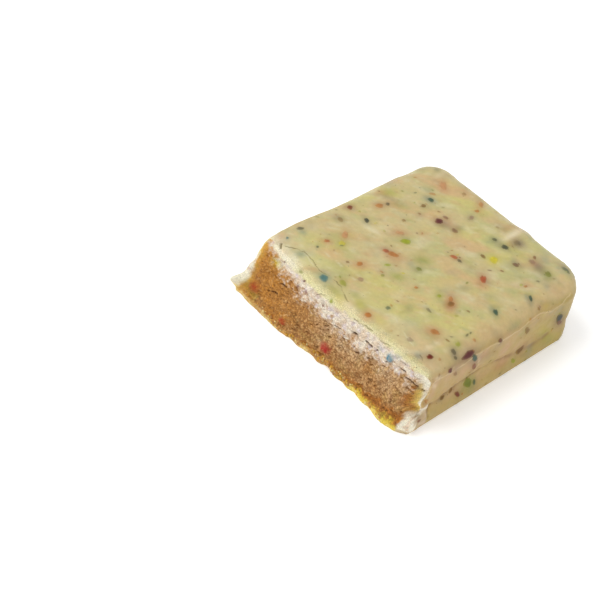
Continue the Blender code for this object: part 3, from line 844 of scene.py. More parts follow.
def fringe_tint(tint, flat, x, z, patch):
    """The dough with the fringe, where icing has soaked in from below and from both sides."""
    place = upright(flat)
    ragged = 0.8 * patch + 0.6 * rough(place, 0.5, 56.0) + 0.9 * rough(place, 2.9, 60.0)
    low = 1 - (z + 0.3 - 0.6 * ramp(x, 6.0, 11.0) + ragged) / (np.interp(x, FRINGE_X, FRINGE_Z) + 1.0)
    left = 1 - (flat[:, 0] + WIDTH / 2 + 0.5 * ragged) / 3.4
    right = (1 - (WIDTH / 2 - flat[:, 0] + 0.6 * ragged) / 2.7) * fall(z + 1.2 * patch, 8.5, 11.5)
    soaked = np.maximum(low + 0.12 * ramp(x, 6.0, 10.0), right)
    golden = np.maximum(np.maximum(low, 0.9 * left), right)
    bright = np.maximum(low * ramp(x, -8.0, 4.0) + 0.16 * ramp(x, 6.0, 10.0), 0.85 * right)
    return layered(
        tint, (FRINGE_ORANGE, ramp(soaked, 0.0, 0.4) * 0.9), (FRINGE_GOLD, ramp(golden, 0.3, 0.8) * 0.8),
        (FRINGE_YELLOW, ramp(bright, 0.6, 0.95) * (0.55 + 1.3 * rough(place, 0.7, 62.0))))


# %% The smear, the creases and the chunks
def break_tint(flat, crumb, points):
    """The colour of the broken end, for places across and up it."""
    x, z = points[:, 0] - SHIFT_ACROSS, points[:, 2]
    place = upright(flat)
    speckle, patch = rough(place, 0.45, 57.0), rough(place, 1.7, 59.0)
    lilac, bare = patches(place, 1.1, 58.0, 0.0, 0.4) * 0.8, patches(place, 1.5, 68.0, 0.1, 0.35) * 0.45
    white = blend(SMEAR_WHITE, SMEAR_LILAC, lilac)
    whiteness = crumb.cover + 0.3 * speckle + 0.3 * patch + 0.15 * crumb.shade
    dark = ramp(crumb.crease, 0.35, 0.95) * 0.6 + crumb.fissure * 0.75
    dark = dark * (1 - 0.65 * crumb.cover) * (0.75 + 0.25 * ramp(x, -12.0, -6.0))
    dark = dark * ramp(WIDTH / 2 + flat[:, 0], 0.6, 2.6)
    sugar = [(COLOURS[chunk.colour], chunk_at(flat, chunk) * (0.85 + 0.4 * speckle)) for chunk in CHUNKS]
    tint = layered(
        dough_tint_at(flat, crumb, x, z), (SMEAR_PINK, ramp(crumb.cover, 0.0, 0.5) * 0.85),
        (white, ramp(whiteness, 0.4, 1.1) * (0.97 - bare)), (CREVICE, dark), *sugar)
    return rim_tint(tint, flat, patch, speckle)


# %% The torn rim's colour
def rim_tint(tint, flat, patch, speckle):
    """The torn icing round the crumb: a thin lip, white where it is torn, and cream along the top."""
    x, z = flat.T
    both = speckle + patch
    from_side = WIDTH / 2 - np.abs(x) + 0.2 * patch + 0.15 * speckle
    from_base = z + 0.3 * patch + 0.3 * speckle
    left_width, lip_width = np.interp(z, LEFT_LIP_Z, LEFT_LIP), np.interp(z, RIGHT_LIP_Z, RIGHT_LIP)
    left_lip = fall(from_side, 0.7 * left_width, 1.3 * left_width) * ramp(-x, 0, 1)
    right_lip = fall(from_side, 0.6 * lip_width, 1.4 * lip_width) * ramp(x, 0, 1)
    low_lip = fall(from_base, 0.3, 1.2) * (1 - 0.7 * ramp(x, -4.0, 4.0))
    glaze = fall(from_base, 0.6, 1.5) * ramp(x + patch, 3.0, 8.0)
    side_glaze = fall(from_side, lip_width + 0.2, lip_width + 0.9) * ramp(x, 0, 1)
    side_glaze = side_glaze * ramp(z, 3.6, 4.4) * fall(z, 9.0, 12.0)
    flap = left_lip * fall(z + 0.5 * patch, 8.0, 10.5) * ramp(z + 0.4 * patch, 1.0, 1.8)
    foot_edge = x - np.interp(z, TORN_FOOT_Z, TORN_FOOT_X)
    foot = ramp(foot_edge + 0.7 * patch + 0.5 * speckle, -0.5, 0.4) * fall(z + 0.6 * patch, 3.8, 4.8)
    torn = np.maximum(np.maximum(flap, right_lip), foot)
    over = fall(HEIGHT - z + 0.5 * patch + 0.3 * speckle, 0.4, 1.4) * ramp(x, -18.6, -17.8)
    return layered(
        tint, (LIP_PEACH, low_lip * 0.9), (LIP_GLAZE, glaze * 0.8),
        (LIP_YELLOW, glaze * ramp(both - 0.5 * z, -0.5, 0.1) * 0.8),
        (LIP_CREAM, np.maximum(left_lip, low_lip * ramp(both, -0.2, 0.4)) * 0.9),
        (LIP_YELLOW, side_glaze * 0.6), (TORN_WHITE, torn),
        (TORN_PINK, torn * ramp(patch + 0.8 * speckle, -0.05, 0.5) * 0.85),
        # tan along the foot's lowest edge: painted shade on its underside
        (TORN_FOOT_TAN_AND_SHADE, foot * fall(z + 0.5 * patch, 0.3, 1.1) * 0.8),
        (EDGE_CREAM, over), (TORN_WHITE, over * fall(x, -13.0, -10.0) * 0.7))


# %% [markdown]
# ## Stains and flecks
#
# A fleck of confetti is a thin chip of coloured sugar, one or two millimetres long, lying flush in
# the icing with its rim buried. Those that the photograph shows are listed by colour, each as the
# numbers of a mark. A fleck's amount is how far the icing veils it. A stain is the same without a
# chip: only its colour shows through the icing, and its amount is how strongly. The pale stains are
# mostly painted highlights on folds and ridges, with a few pale scuffs, and the brown stain is
# painted shade under the crease on the long wall.

# %% Colours of the confetti
COLOURS = {
    "teal": linear(58, 82, 66), "sky": linear(80, 116, 112), "navy": linear(60, 64, 54),
    "plum": linear(94, 46, 46), "maroon": linear(106, 40, 26), "red": linear(162, 76, 44),
    "orange": linear(168, 104, 48), "brown": linear(112, 78, 36), "lime": linear(138, 146, 36),
    "yellow": linear(194, 180, 54), "green": linear(102, 110, 26), "slate": linear(98, 90, 68),
    "mauve": linear(138, 110, 92), "salmon": linear(182, 130, 90), "pale_highlight_and_scuff": linear(226, 213, 178),
    "berry": linear(152, 50, 22), "cherry": linear(160, 30, 30), "blue": linear(84, 126, 140),
}

# %% Flecks
FLECKS = {
    "teal": [
        (431, 200, 8, 4, 25, .15), (495.5, 312.5, 8, 5, 65, .1), (530.5, 298.5, 9, 4, 75, .15),
        (474.6, 358, 8, 6.4, 100, .05), (388, 308, 6, 4.4, 0, .35), (566, 270, 12, 4, 40, .45),
        (317.5, 247, 3.4, 3, 40, .35), (474, 382, 7, 3.4, 95, .3)],
    "sky": [
        (324, 278, 11, 7.5, 20, .05), (287.3, 238, 3.4, 3, 0, .3)],
    "navy": [
        (366.8, 220.5, 7, 4.6, 40, .1), (300.3, 228.5, 9, 3.6, 0, .35), (505, 247.5, 10, 5.4, 30, .15),
        (494.5, 239.7, 6, 3.6, 20, .4), (459.5, 261, 6, 3.2, 30, .35), (467, 335, 4.4, 3, 140, .5),
        (470.4, 333, 3.2, 2.4, 140, .5), (559.5, 318, 11, 6, 125, .05)],
    "plum": [
        (500.5, 341, 6, 4.6, 110, .25), (559, 322, 7, 5, 125, .4), (439, 221.5, 11, 6.5, 20, .05),
        (445.5, 217.5, 7, 3.6, 30, .5), (468.5, 355, 17, 8, 142, .03), (515.6, 265, 8, 4.6, 30, .35),
        (450, 371, 7, 4.4, 120, .1), (454.5, 230.7, 8, 5, 35, .45), (284.5, 262, 2.4, 2, 0, .3),
        (304.5, 281, 4, 3, 0, .2), (298, 286, 4, 2.4, 110, .3), (323, 305.5, 4, 3.4, 90, .35),
        (455.5, 374, 5, 4, 120, .6)],
    "maroon": [
        (350, 207.2, 7, 4.6, 10, .2), (430, 357, 8, 6, 20, .03), (457, 394.5, 8, 5.6, 70, .1),
        (474, 366.5, 7, 4.6, 115, .3), (534.5, 257.5, 4.6, 3.6, 60, .45), (306, 292, 4, 3, 60, .4),
        (418.6, 421, 6, 2.6, 145, .35)],
    "red": [
        (454, 257, 10, 3.6, 20, .25), (483, 279.5, 9, 7, 80, .12), (327, 241, 8, 3.6, 12, .4),
        (386, 251, 8, 4.6, 20, .25)],
    "orange": [
        (379.5, 205.6, 10, 4.6, 5, .35), (393, 254.5, 14, 5, 22, .2), (359.8, 264, 8, 5.4, 10, .25),
        (368, 315, 8, 6.4, 20, .12), (435, 332, 11, 6, 20, .3), (432.5, 194, 8, 3, 15, .55),
        (477, 211.3, 6, 3.6, 10, .3), (426, 401, 6, 4, 140, .5), (416, 287.5, 5, 3, 10, .3),
        (525.6, 286.5, 5, 3, 10, .35), (481, 204.5, 7, 5, 60, .5), (450.5, 299, 7, 5, 60, .45)],
    "brown": [
        (519.5, 350, 14, 4, 132, .2), (527, 330.6, 8, 5, 110, .35), (423.5, 206, 7, 4.4, 20, .3),
        (483, 256.5, 7, 4, 40, .3), (403.8, 220.5, 5, 3.4, 10, .5), (450.6, 390.5, 8, 3.4, 120, .2),
        (442, 398, 7, 3.6, 130, .2), (447.5, 340.4, 6, 2.4, 35, .45), (464, 194, 5, 3.4, 15, .6),
        (538.8, 308.8, 5, 3, 70, .5), (347.5, 262, 5, 2.6, 15, .4), (340, 219.5, 8, 4.6, 25, .6),
        (451, 304, 6, 8, 90, .35)],
    "lime": [
        (406, 241.5, 13, 5.4, 8, .08), (457.8, 344.4, 6, 5, 40, .55), (513, 361, 6, 5, 120, .3),
        (387.5, 265, 8, 3.2, 5, .35), (343, 283, 9, 6, 40, .5), (439, 296, 5, 4, 20, .4),
        (331, 301.5, 5, 4, 110, .3), (521, 285, 4, 3, 10, .5)],
    "yellow": [
        (494, 260, 10, 7, 20, .1), (342, 243.5, 8, 5.6, 20, .45)],
    "green": [
        (467.5, 383, 12, 8, 105, .08), (548, 274.5, 8, 6, 40, .5), (467, 283, 4, 3, 0, .5),
        (301, 272, 5, 4, 30, .5), (419, 269, 7, 4, 20, .5)],
    "slate": [
        (387.8, 204, 5, 3.4, 10, .2), (428.8, 310.6, 8, 3, 45, .45), (453.5, 352, 10, 5, 65, .15),
        (455.5, 358, 5, 4, 60, .2), (517, 243, 8, 6, 20, .6)],
    "mauve": [
        (360.6, 279.4, 8, 4.4, 10, .45), (410, 340, 8, 5, 30, .5), (471.5, 218, 6, 5, 20, .4),
        (532, 262, 8, 5, 30, .4)],
    "salmon": [
        (345, 235, 9, 6.5, 95, .3), (443, 186, 10, 7, 70, .45), (400, 233, 12, 3.6, 15, .5)],
}

# %% Stains, painted highlights and painted shade
STAINS_AND_PAINTED_LIGHT = {
    "teal": [
        (437, 169.5, 8, 5, 20, .4), (388, 182, 14, 5, 155, .25), (530, 300, 12, 6, 75, .25),
        (495, 314, 11, 8, 65, .25), (566, 268, 16, 7, 40, .3)],
    "sky": [
        (300.6, 254, 12, 7, 10, .5), (418, 356, 10, 8, 20, .5), (411, 264, 9, 7, 30, .3),
        (546.9, 286, 9, 6, 75, .3), (545, 260, 12, 9, 40, .35), (429, 190, 9, 5, 20, .25),
        (526, 296, 8, 4, 75, .4), (303, 232, 9, 5, 20, .4), (514, 261, 9, 7, 60, .3),
        (428, 199, 12, 6, 20, .35), (498, 243, 14, 7, 30, .35), (491, 309, 8, 5, 60, .3),
        (324, 275, 15, 12, 20, .25), (398, 357, 8, 5, 20, .35), (380, 348, 6, 5, 20, .3)],
    "plum": [
        (446, 224, 15, 9, 20, .3), (457, 229, 10, 7, 30, .25), (465, 360, 15, 10, 140, .3),
        (560, 320, 12, 8, 125, .3)],
    "mauve": [
        (456, 368, 12, 8, 130, .45), (519, 244, 14, 9, 20, .6), (537, 266, 16, 10, 35, .6),
        (338, 218, 14, 7, 20, .4), (471, 218, 9, 8, 10, .35), (420, 216, 9, 6, 0, .3),
        (500, 226, 16, 7, 40, .25), (499, 345, 12, 8, 140, .25)],
    "salmon": [
        (450, 303, 22, 13, 95, .7), (434, 332, 20, 13, 20, .55), (400, 233, 18, 8, 12, .45),
        (443, 186, 15, 11, 70, .55), (368, 315, 15, 11, 20, .45), (393, 257, 24, 12, 25, .45),
        (345, 235, 14, 12, 90, .5), (480, 205, 12, 12, 60, .5), (281, 236, 14, 8, 150, .45),
        (314, 270, 12, 7, 30, .3), (483, 281, 15, 13, 80, .4), (520, 228, 16, 9, 150, .35),
        (533, 263, 9, 8, 40, .4), (380, 206, 16, 9, 5, .4), (327, 242, 14, 8, 12, .4),
        (360, 266, 14, 9, 10, .35), (455, 257, 16, 8, 15, .35), (474, 366, 10, 8, 115, .35)],
    "orange": [
        (451, 305, 9, 12, 95, .5), (508, 228, 14, 8, 150, .35), (544, 306, 16, 9, 150, .3),
        (500, 365, 16, 8, 140, .3), (381, 192.5, 14, 7, 0, .3), (350, 207, 12, 8, 10, .3)],
    "lime": [
        (423, 260, 20, 10, 10, .5), (398, 277, 16, 9, 10, .55), (343, 283, 13, 10, 20, .4),
        (389, 193, 16, 8, 5, .4), (402, 206, 18, 9, 10, .25), (342, 244, 12, 10, 20, .35),
        (515, 292, 17, 10, 0, .3), (440, 296, 9, 8, 20, .4), (361, 306, 15, 10, 40, .4),
        (333, 289, 20, 9, 40, .35), (355, 295, 12, 7, 10, .35), (470, 262, 12, 6, 10, .25),
        (469, 381, 16, 12, 100, .45), (458, 344, 10, 8, 40, .4)],
    "yellow": [
        (494, 260, 16, 11, 10, .55), (341, 300, 18, 9, 45, .4), (380, 320, 18, 10, 40, .3),
        (546, 306, 12, 7, 150, .3), (492, 300, 14, 9, 60, .3), (545, 333, 13, 18, 120, .4),
        (360, 303, 12, 9, 40, .3), (277.5, 263, 6, 10, 160, .6)],
    "green": [
        (418, 270, 13, 7, 10, .5), (547, 275, 14, 10, 40, .5), (545, 335, 13, 18, 120, .35),
        (461, 228, 8, 6, 20, .35), (472, 268, 10, 7, 10, .25), (397, 204, 16, 8, 5, .25)],
    # painted shade below the crease on the long wall
    "brown": [
        (486, 356, 30, 7, 150, .3)],
    # mostly painted highlights on folds and ridges, with a few pale scuffs on the wall
    "pale_highlight_and_scuff": [
        (514, 234, 26, 7, 152, .75), (499, 243, 9, 5, 150, .3), (372, 229, 20, 5, 30, .6),
        (440, 175, 12, 5, 160, .3), (497, 263, 12, 4, 20, .25), (433, 345, 16, 6, 150, .3),
        (348, 306, 20, 8, 38, .5), (434, 386, 5, 4, 120, .4), (438, 378, 7, 3, 150, .4)],
    "slate": [
        (499, 243.5, 16, 8, 30, .45), (517, 243, 14, 9, 15, .4), (540, 268, 12, 9, 30, .4),
        (454, 352, 12, 10, 60, .4), (409, 309, 10, 8, 0, .3), (418, 417.5, 8, 5, 140, .35)],
}
print("marks listed:", sum(len(marks) for marks in (*FLECKS.values(), *STAINS_AND_PAINTED_LIGHT.values())))

# %% Colour the whole skin
icing_tint[face_number.ravel()] = break_tint(rim_flat, rim_crumb, rim_points)
near_break = block_points[:, 1] - BREAK_LINE + 0.9 * rough(block_points, 1.1, 71.0)
on_icing = ~on_face
near_tear = fall(near_break, 0.0, 1.3) * on_icing
whiter = fall(block_points[:, 0], -13.0, -10.0) * fall(near_break, 0.3, 2.6) * on_icing
paler = fall(near_break, 1.0, 8.0) * (1 - 0.5 * ramp(block_points[:, 0], -9.0, -4.0)) * on_icing
icing_tint = layered(
    icing_tint, (EDGE_CREAM, near_tear * (1 - 0.7 * wall) * 0.55), (TORN_WHITE, whiter * (1 - wall) * 0.6),
    (PALE_CREAM, paler * (1 - wall) * 0.4))
dough_tint = break_tint(dough_flat, dough_crumb, dough_points)
print("broken end tint, mean:", dough_tint.mean(0).round(3))

# %% Colour the torn foot
FOOT_SIDE, FOOT_BACK, FOOT_TOP = (19.6, 20.4), (-17.4, -17.0), (4.4, 4.9)
foot_x, foot_y, foot_z = icing_points.T
on_foot = ramp(foot_x, *FOOT_SIDE) * fall(foot_y, *FOOT_BACK) * fall(foot_z, *FOOT_TOP) * on_icing
foot_patch = rough(icing_points, 0.9, 73.0)
ledge, torn = ramp(foot_z + 0.5 * foot_patch, 3.4, 4.1), fall(foot_y + 1.2 * foot_patch, -21.0, -19.8)
icing_tint = layered(
    icing_tint, (TORN_FOOT_TAN_AND_SHADE, on_foot), (TORN_WHITE, on_foot * np.maximum(ledge, torn) * 0.95),
    (TORN_PINK, on_foot * ramp(foot_patch, 0.0, 0.5) * 0.6))
print("points of the icing on the torn foot:", int((on_foot > 0).sum()))

# %% Soak the stains in, with the painted highlights and shade
skin_tint = np.concatenate([icing_tint, dough_tint])


def tint_spot(spot, colour, strength, spread=1.0):
    """Blends one colour into the skin round a spot, for stains, painted highlights and painted shade."""
    near, felt = felt_near(skin_points, spot, spread)
    skin_tint[near] = blend(skin_tint[near], COLOURS[colour], felt * strength)


def shown(marks):
    """The marks as spots, with what each is for."""
    for colour, listed in marks.items():
        for mark in (Mark(*row) for row in listed):
            spot = spot_at(mark, skin_tree)
            if spot:
                yield colour, spot, mark.amount


for colour, spot, strength in shown(STAINS_AND_PAINTED_LIGHT):
    tint_spot(spot, colour, strength)
Fleck = namedtuple("Fleck", "colour spot veil")
flecks = [Fleck(*each) for each in shown(FLECKS)]
print("flecks on the shown sides:", len(flecks))

# %% [markdown]
# ## Confetti by rule
#
# The sides that the photograph doesn't show were dipped in the same icing, so they get the same
# confetti: as many flecks to each square centimetre, in the same colours and sizes, from one fixed
# seed. Faint flecks, fainter stains and specks of sugar dust go everywhere, as the photograph shows
# many that are too weak to list.

# %% What is scattered
CONFETTI_SEED = 7
# A kind's ranges: its length, its width as a share of that, its turn, and its strength or its veil.
Kind = namedtuple("Kind", "count length slim tilt strength")
FAINT_STAINS = Kind(700, (0.8, 3.2), (0.35, 0.8), 0.5, (0.05, 0.24))
HIDDEN_FLECKS = Kind(330, (0.7, 2.2), (0.35, 0.75), 0.6, (0.05, 0.55))
FAINT_FLECKS = Kind(260, (0.3, 0.9), (0.4, 0.9), 0.8, (0.5, 0.85))
DUST, DUST_SLIM = Kind(240, (0.14, 0.32), None, 1.0, (0.2, 0.7)), 0.8
BLEED_SHIFT, BLEED_STRENGTH, BLEED_SPREAD = (-0.4, 0.4), 0.42, (1.2, 1.8)
NOT_AT_BREAK, STEEP = 0.5, 0.7
STAIN_COLOURS = ("lime", "lime", "yellow", "green", "sky", "salmon", "salmon", "orange", "mauve", "teal")
TOP_FLOW, WALL_FLOW = np.array([0.87, 0.5, 0.0]), np.array([0.0, 1.0, 0.3])

draw = random.Random(CONFETTI_SEED)
running_area = np.cumsum(np.linalg.norm(crossed(icing_points, icing_faces), axis=1))
fleck_colours = [colour for colour, listed in FLECKS.items() for _ in listed]


def chance_spot(kind):
    """A spot at an even chance anywhere on the icing, turned mostly the way that the icing flowed."""
    length = draw.uniform(*kind.length)
    slim = draw.uniform(*kind.slim) if kind.slim else DUST_SLIM
    face = icing_faces[np.searchsorted(running_area, draw.random() * running_area[-1])]
    share = draw.random()
    middle = icing_points[face[0]] * share + icing_points[face[2]] * (1 - share)
    out = unit(icing_normals[face].sum(0))
    flow = TOP_FLOW if abs(out[0]) < STEEP else WALL_FLOW
    first = unit(flow - out * (flow @ out))
    turn = draw.gauss(0, kind.tilt)
    along = first * math.cos(turn) + np.cross(out, first) * math.sin(turn)
    return Spot(middle, along * length / 2, np.cross(out, along) * length * slim / 2, out)


def chance_fleck(kind):
    """A fleck of a chance colour, veiled by chance too."""
    spot = chance_spot(kind)
    return Fleck(draw.choice(fleck_colours), spot, draw.uniform(*kind.strength))


def is_shown(spot):
    return spot.out @ (CAMERA_PLACE - spot.middle) > 0


# %% Scatter it
for _ in range(FAINT_STAINS.count):
    spot = chance_spot(FAINT_STAINS)
    tint_spot(spot, draw.choice(STAIN_COLOURS), draw.uniform(*FAINT_STAINS.strength))
hidden = 0
while hidden < HIDDEN_FLECKS.count:
    spot, colour = chance_spot(HIDDEN_FLECKS), draw.choice(fleck_colours)
    if is_shown(spot) or spot.middle[1] < BREAK_LINE + NOT_AT_BREAK:
        continue
    hidden += 1
    flecks.append(Fleck(colour, spot, draw.uniform(*HIDDEN_FLECKS.strength)))
for _ in range(FAINT_FLECKS.count):
    flecks.append(chance_fleck(FAINT_FLECKS))
for fleck in flecks:
    bleed = Spot(fleck.spot.middle + fleck.spot.long * draw.uniform(*BLEED_SHIFT), *fleck.spot[1:])
    tint_spot(bleed, fleck.colour, BLEED_STRENGTH * (1 - fleck.veil), draw.uniform(*BLEED_SPREAD))
for _ in range(DUST.count):
    flecks.append(chance_fleck(DUST))
print("flecks in all:", len(flecks))

# %% Colour the lines
CREASE_PALE = linear(206, 180, 132)
# painted shade in the waist groove and in the cracks of the torn foot
GROOVE_SHADE = linear(136, 100, 54)
# painted shade in the hairline cracks on the top
CRACK_SHADE = linear(106, 92, 44)
# painted shade in the gaps of the crumb
GAP_SHADE = linear(74, 40, 14)
LINE_TINTS = (
    # the scratch tint also paints two glints and one highlight streak
    ("crease", CREASE_PALE, 0.1, 0.9, 0.7), ("scratch_and_glint", PALE_CREAM, 0.1, 0.9, 0.55),
    ("groove", GROOVE_SHADE, 0.1, 1.0, 0.6), ("crack", CRACK_SHADE, 0.2, 0.8, 0.8),
    ("gap", GAP_SHADE, 0.3, 0.8, 0.85))
skin_lines = {kind: np.concatenate([icing_lines[kind], dough_lines[kind]]) for kind in icing_lines}
for kind, colour, low, high, most in LINE_TINTS:
    skin_tint = blend(skin_tint, colour, ramp(skin_lines[kind], low, high) * most)
icing_tint, dough_tint = skin_tint[:len(icing_points)], skin_tint[len(icing_points):]
print("skin tint with its lines, mean:", skin_tint.mean(0).round(3))

# %% [markdown]
# ## Closing the two pieces
#
# Both pieces are closed solids. Behind the broken face the icing's inside walls run back to the far
# end and close there, and the dough fills that hollow with a little room round it. Each is a tunnel
# of rings: the first ring is the border of the face, and the others lie where the block's own layer
# puts them. The edge between face and tunnel is marked sharp, so that neither side shades the other.

# %% Rings and caps
RING_DEPTHS = (0.8, 4.0, 10.0, 18.0, 26.0, 34.0, 39.5, 41.4, 42.6)


def loop_round(grid):
    """The border of a grid, once round."""
    return np.concatenate([grid[:-1, 0], grid[-1, :-1], grid[:0:-1, -1], grid[0, :0:-1]])


def layer_ring(along, up, layer, depth):
    """One ring of a layer in the plain block, with as many points on each side as the face's border has."""
    half, low, high = WIDTH / 2 - layer.side, layer.base, HEIGHT - layer.top
    lines = np.linspace(-half, half, along), np.linspace(low, high, up)
    ring = loop_round(np.stack(np.meshgrid(*lines, indexing="ij"), axis=-1))
    return np.column_stack([ring[:, 0], np.full(len(ring), BREAK_LINE + depth), ring[:, 1]])


def end_cap(ring, along, up):
    """Closes the last ring: strips from its lower side to its upper one, and a face at each end."""
    low, high = ring[:along], ring[along + up - 2:2 * along + up - 2][::-1]
    right, left = ring[along - 1:along + up - 1], np.append(ring[2 * along + up - 3:], ring[0])[::-1]
    strips = np.column_stack([low[1:-2], low[2:-1], high[2:-1], high[1:-2]]).tolist()
    return strips + [[low[1], *left.tolist(), high[1]], [low[-2], *right.tolist(), high[-2]]]


def tunnel(points, border, along, up, layer):
    """Adds rings behind a border and joins them with faces. Gives all points, and the new faces."""
    faces, last = [], border
    for depth in RING_DEPTHS:
        ring = shaped(layer_ring(along, up, layer, depth), layer)
        numbers = np.arange(len(points), len(points) + len(ring))
        points = np.concatenate([points, ring])
        faces += np.column_stack([last, np.roll(last, -1), np.roll(numbers, -1), numbers]).tolist()
        last = numbers
    return points, faces + end_cap(last, along, up)


# %% Pieces
def make_piece(name, points, faces, tint, material, outer=0, dry=None):
    """One closed mesh from points in millimetres, coloured point by point."""
    mesh = bpy.data.meshes.new(name)
    mesh.from_pydata((points * MM).tolist(), [], faces)
    solid = bmesh.new()
    solid.from_mesh(mesh)
    for edge in solid.edges:
        if outer and len({face.index < outer for face in edge.link_faces}) > 1:
            edge.smooth = False
    bmesh.ops.recalc_face_normals(solid, faces=solid.faces[:])
    open_edges = sum(not edge.is_manifold for edge in solid.edges)
    solid.to_mesh(mesh)
    solid.free()
    colours = mesh.color_attributes.new("tint", "FLOAT_COLOR", "POINT")
    colours.data.foreach_set("color", np.column_stack([tint, np.ones(len(tint))]).astype(np.float32).ravel())
    if dry is not None:
        mesh.attributes.new("dry", "FLOAT", "POINT").data.foreach_set("value", dry.astype(np.float32))
    mesh.shade_smooth()
    mesh.materials.append(material)
    mesh.calc_loop_triangles()
    print(name, len(mesh.loop_triangles), "triangles, open edges:", open_edges)
    return put(name, mesh)


# %% [markdown]
# ## Finishes
#
# Icing is sugar in fat: light goes a little way in, so it has some subsurface scattering, and its
# skin is smooth with a soft gloss, broken by fine dimples. The dough is dull and dry, with a sandy
# grain finer than its mesh. One finish does both: an attribute says how dry the surface is, so that
# the gloss dies away gradually over the smear. Noise adds what is too fine for the mesh.


# %% Material helpers
def fill(tree, made, inputs):
    """Sets a node's inputs, each to a value or from another node's output."""
    for socket, value in inputs.items():
        if isinstance(value, bpy.types.NodeSocket):
            tree.links.new(value, made.inputs[socket])
        else:
            made.inputs[socket].default_value = value


def node(tree, kind, inputs, output):
    """One output of a new node."""
    made = tree.nodes.new(kind)
    fill(tree, made, inputs)
    return made.outputs[output]


def noise_at(tree, size, detail=3.0):
    """Noise whose lumps are about as large as the size, in millimetres."""
    place = node(tree, "ShaderNodeTexCoord", {}, "Object")
    inputs = {"Vector": place, "Scale": 1 / (size * MM), "Detail": detail}
    return node(tree, "ShaderNodeTexNoise", inputs, "Fac")


def spread(tree, value, low, high):
    """Noise stretched to run from one value to another."""
    ends = {"From Min": 0.3, "From Max": 0.7, "To Min": low, "To Max": high}
    return node(tree, "ShaderNodeMapRange", {"Value": value, **ends}, "Result")


def mixed(tree, share, low, high):
    """From the first value to the second by a share."""
    return node(tree, "ShaderNodeMix", {"Factor": share, "A": low, "B": high}, "Result")


def attribute(tree, name, output):
    made = tree.nodes.new("ShaderNodeAttribute")
    made.attribute_name = name
    return made.outputs[output]


def bump(tree, height, depth, **before):
    return node(tree, "ShaderNodeBump", {"Height": height, "Distance": depth * MM, **before}, "Normal")


# %% The finish
GLOSSY, SATIN, DULL, GLOSS_SIZE = 0.34, 0.5, 0.9, 1.5
MOTTLE_SIZE, MOTTLE = 0.7, (0.95, 1.05)
GRAIN_NOISE_SIZE, GRAIN_SHADE = 0.16, (0.68, 1.34)
DIMPLE_SIZE, DIMPLE_DEPTH, GRAIN_BUMP_SIZE, GRAIN_BUMP_DEPTH, FLAT = 0.55, 0.02, 0.17, 0.1, 0.5
GLOW_REACH, GLOW_SCALE = (1.0, 0.75, 0.4), 0.7


def finish(name, glow, gloss):
    """A finish that goes from glossy to sandy with the attribute dry, over the attribute tint."""
    material = bpy.data.materials.new(name)
    material.use_nodes = True
    tree = material.node_tree
    dry = attribute(tree, "dry", "Fac")
    mottle = spread(tree, noise_at(tree, MOTTLE_SIZE), *MOTTLE)
    grain = mixed(tree, dry, 1.0, spread(tree, noise_at(tree, GRAIN_NOISE_SIZE), *GRAIN_SHADE))
    both = tree.nodes.new("ShaderNodeMath")
    both.operation = "MULTIPLY"
    fill(tree, both, {0: mottle, 1: grain})
    scaled = tree.nodes.new("ShaderNodeVectorMath")
    scaled.operation = "SCALE"
    fill(tree, scaled, {0: attribute(tree, "tint", "Color"), "Scale": both.outputs[0]})
    smooth = spread(tree, noise_at(tree, GLOSS_SIZE), GLOSSY, SATIN)
    dimples = bump(tree, noise_at(tree, DIMPLE_SIZE), DIMPLE_DEPTH)
    sand = mixed(tree, dry, FLAT, noise_at(tree, GRAIN_BUMP_SIZE, 4.0))
    fill(tree, tree.nodes["Principled BSDF"], {
        "Base Color": scaled.outputs["Vector"], "Roughness": mixed(tree, dry, smooth, DULL),
        "Normal": bump(tree, sand, GRAIN_BUMP_DEPTH, Normal=dimples), "Specular IOR Level": gloss,
        "Subsurface Weight": glow, "Subsurface Radius": GLOW_REACH, "Subsurface Scale": GLOW_SCALE * MM})
    return material


# %% The icing
DRY_BY_BREAK, DRY_FADE, DRY_RIM = 0.8, (0.2, 1.8), 0.9
icing_dry = fall(near_break, *DRY_FADE) * DRY_BY_BREAK
icing_dry[face_number.ravel()] = DRY_RIM

hollow_border = loop_round(block_number[first_x:last_x + 1, 0, first_z:last_z + 1])
closed_points, inner_faces = tunnel(icing_points, hollow_border, count_x, count_z, HOLLOW)
used = np.ones(len(closed_points), bool)
used[:len(icing_points)] = False
used[icing_faces.ravel()] = True
new_number = np.cumsum(used) - 1
hidden_points = len(closed_points) - len(icing_points)
closed_tint = np.concatenate([icing_tint, np.tile(LIP_CREAM, (hidden_points, 1))])
closed_dry = np.concatenate([icing_dry, np.zeros(hidden_points)])
closed_faces = [new_number[face].tolist() for face in icing_faces.tolist() + inner_faces]
icing = make_piece("icing_skin", closed_points[used], closed_faces, closed_tint[used],
                   finish("cream_icing", 0.12, 0.4), len(icing_faces), closed_dry[used])
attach(icing, "root")
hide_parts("icing")

# %% The dough
dough_border = loop_round(dough_number)
filled_points, back_faces = tunnel(dough_points, dough_border, len(dough_x), len(dough_z), FILLING)
hidden_points = len(filled_points) - len(dough_points)
filled_tint = np.concatenate([dough_tint, np.tile(DOUGH_TAN, (hidden_points, 1))])
dough = make_piece("dough_filling", filled_points, dough_faces.tolist() + back_faces, filled_tint,
                   finish("crumbly_dough", 0.03, 0.25), len(dough_faces), np.ones(len(filled_points)))
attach(dough, "root")
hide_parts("dough")

# %% [markdown]
# ## Chips
#
# Each fleck is a small lens with a wavy outline: proud of the icing by a few hundredths of a
# millimetre in its middle, with its rim sunk, as icing flowed over the edge of the real one. The
# nearer its rim, the more icing veils it, so a chip's outer ring has the icing's own colour and no
# hard edge shows. Chips of one colour are one piece.

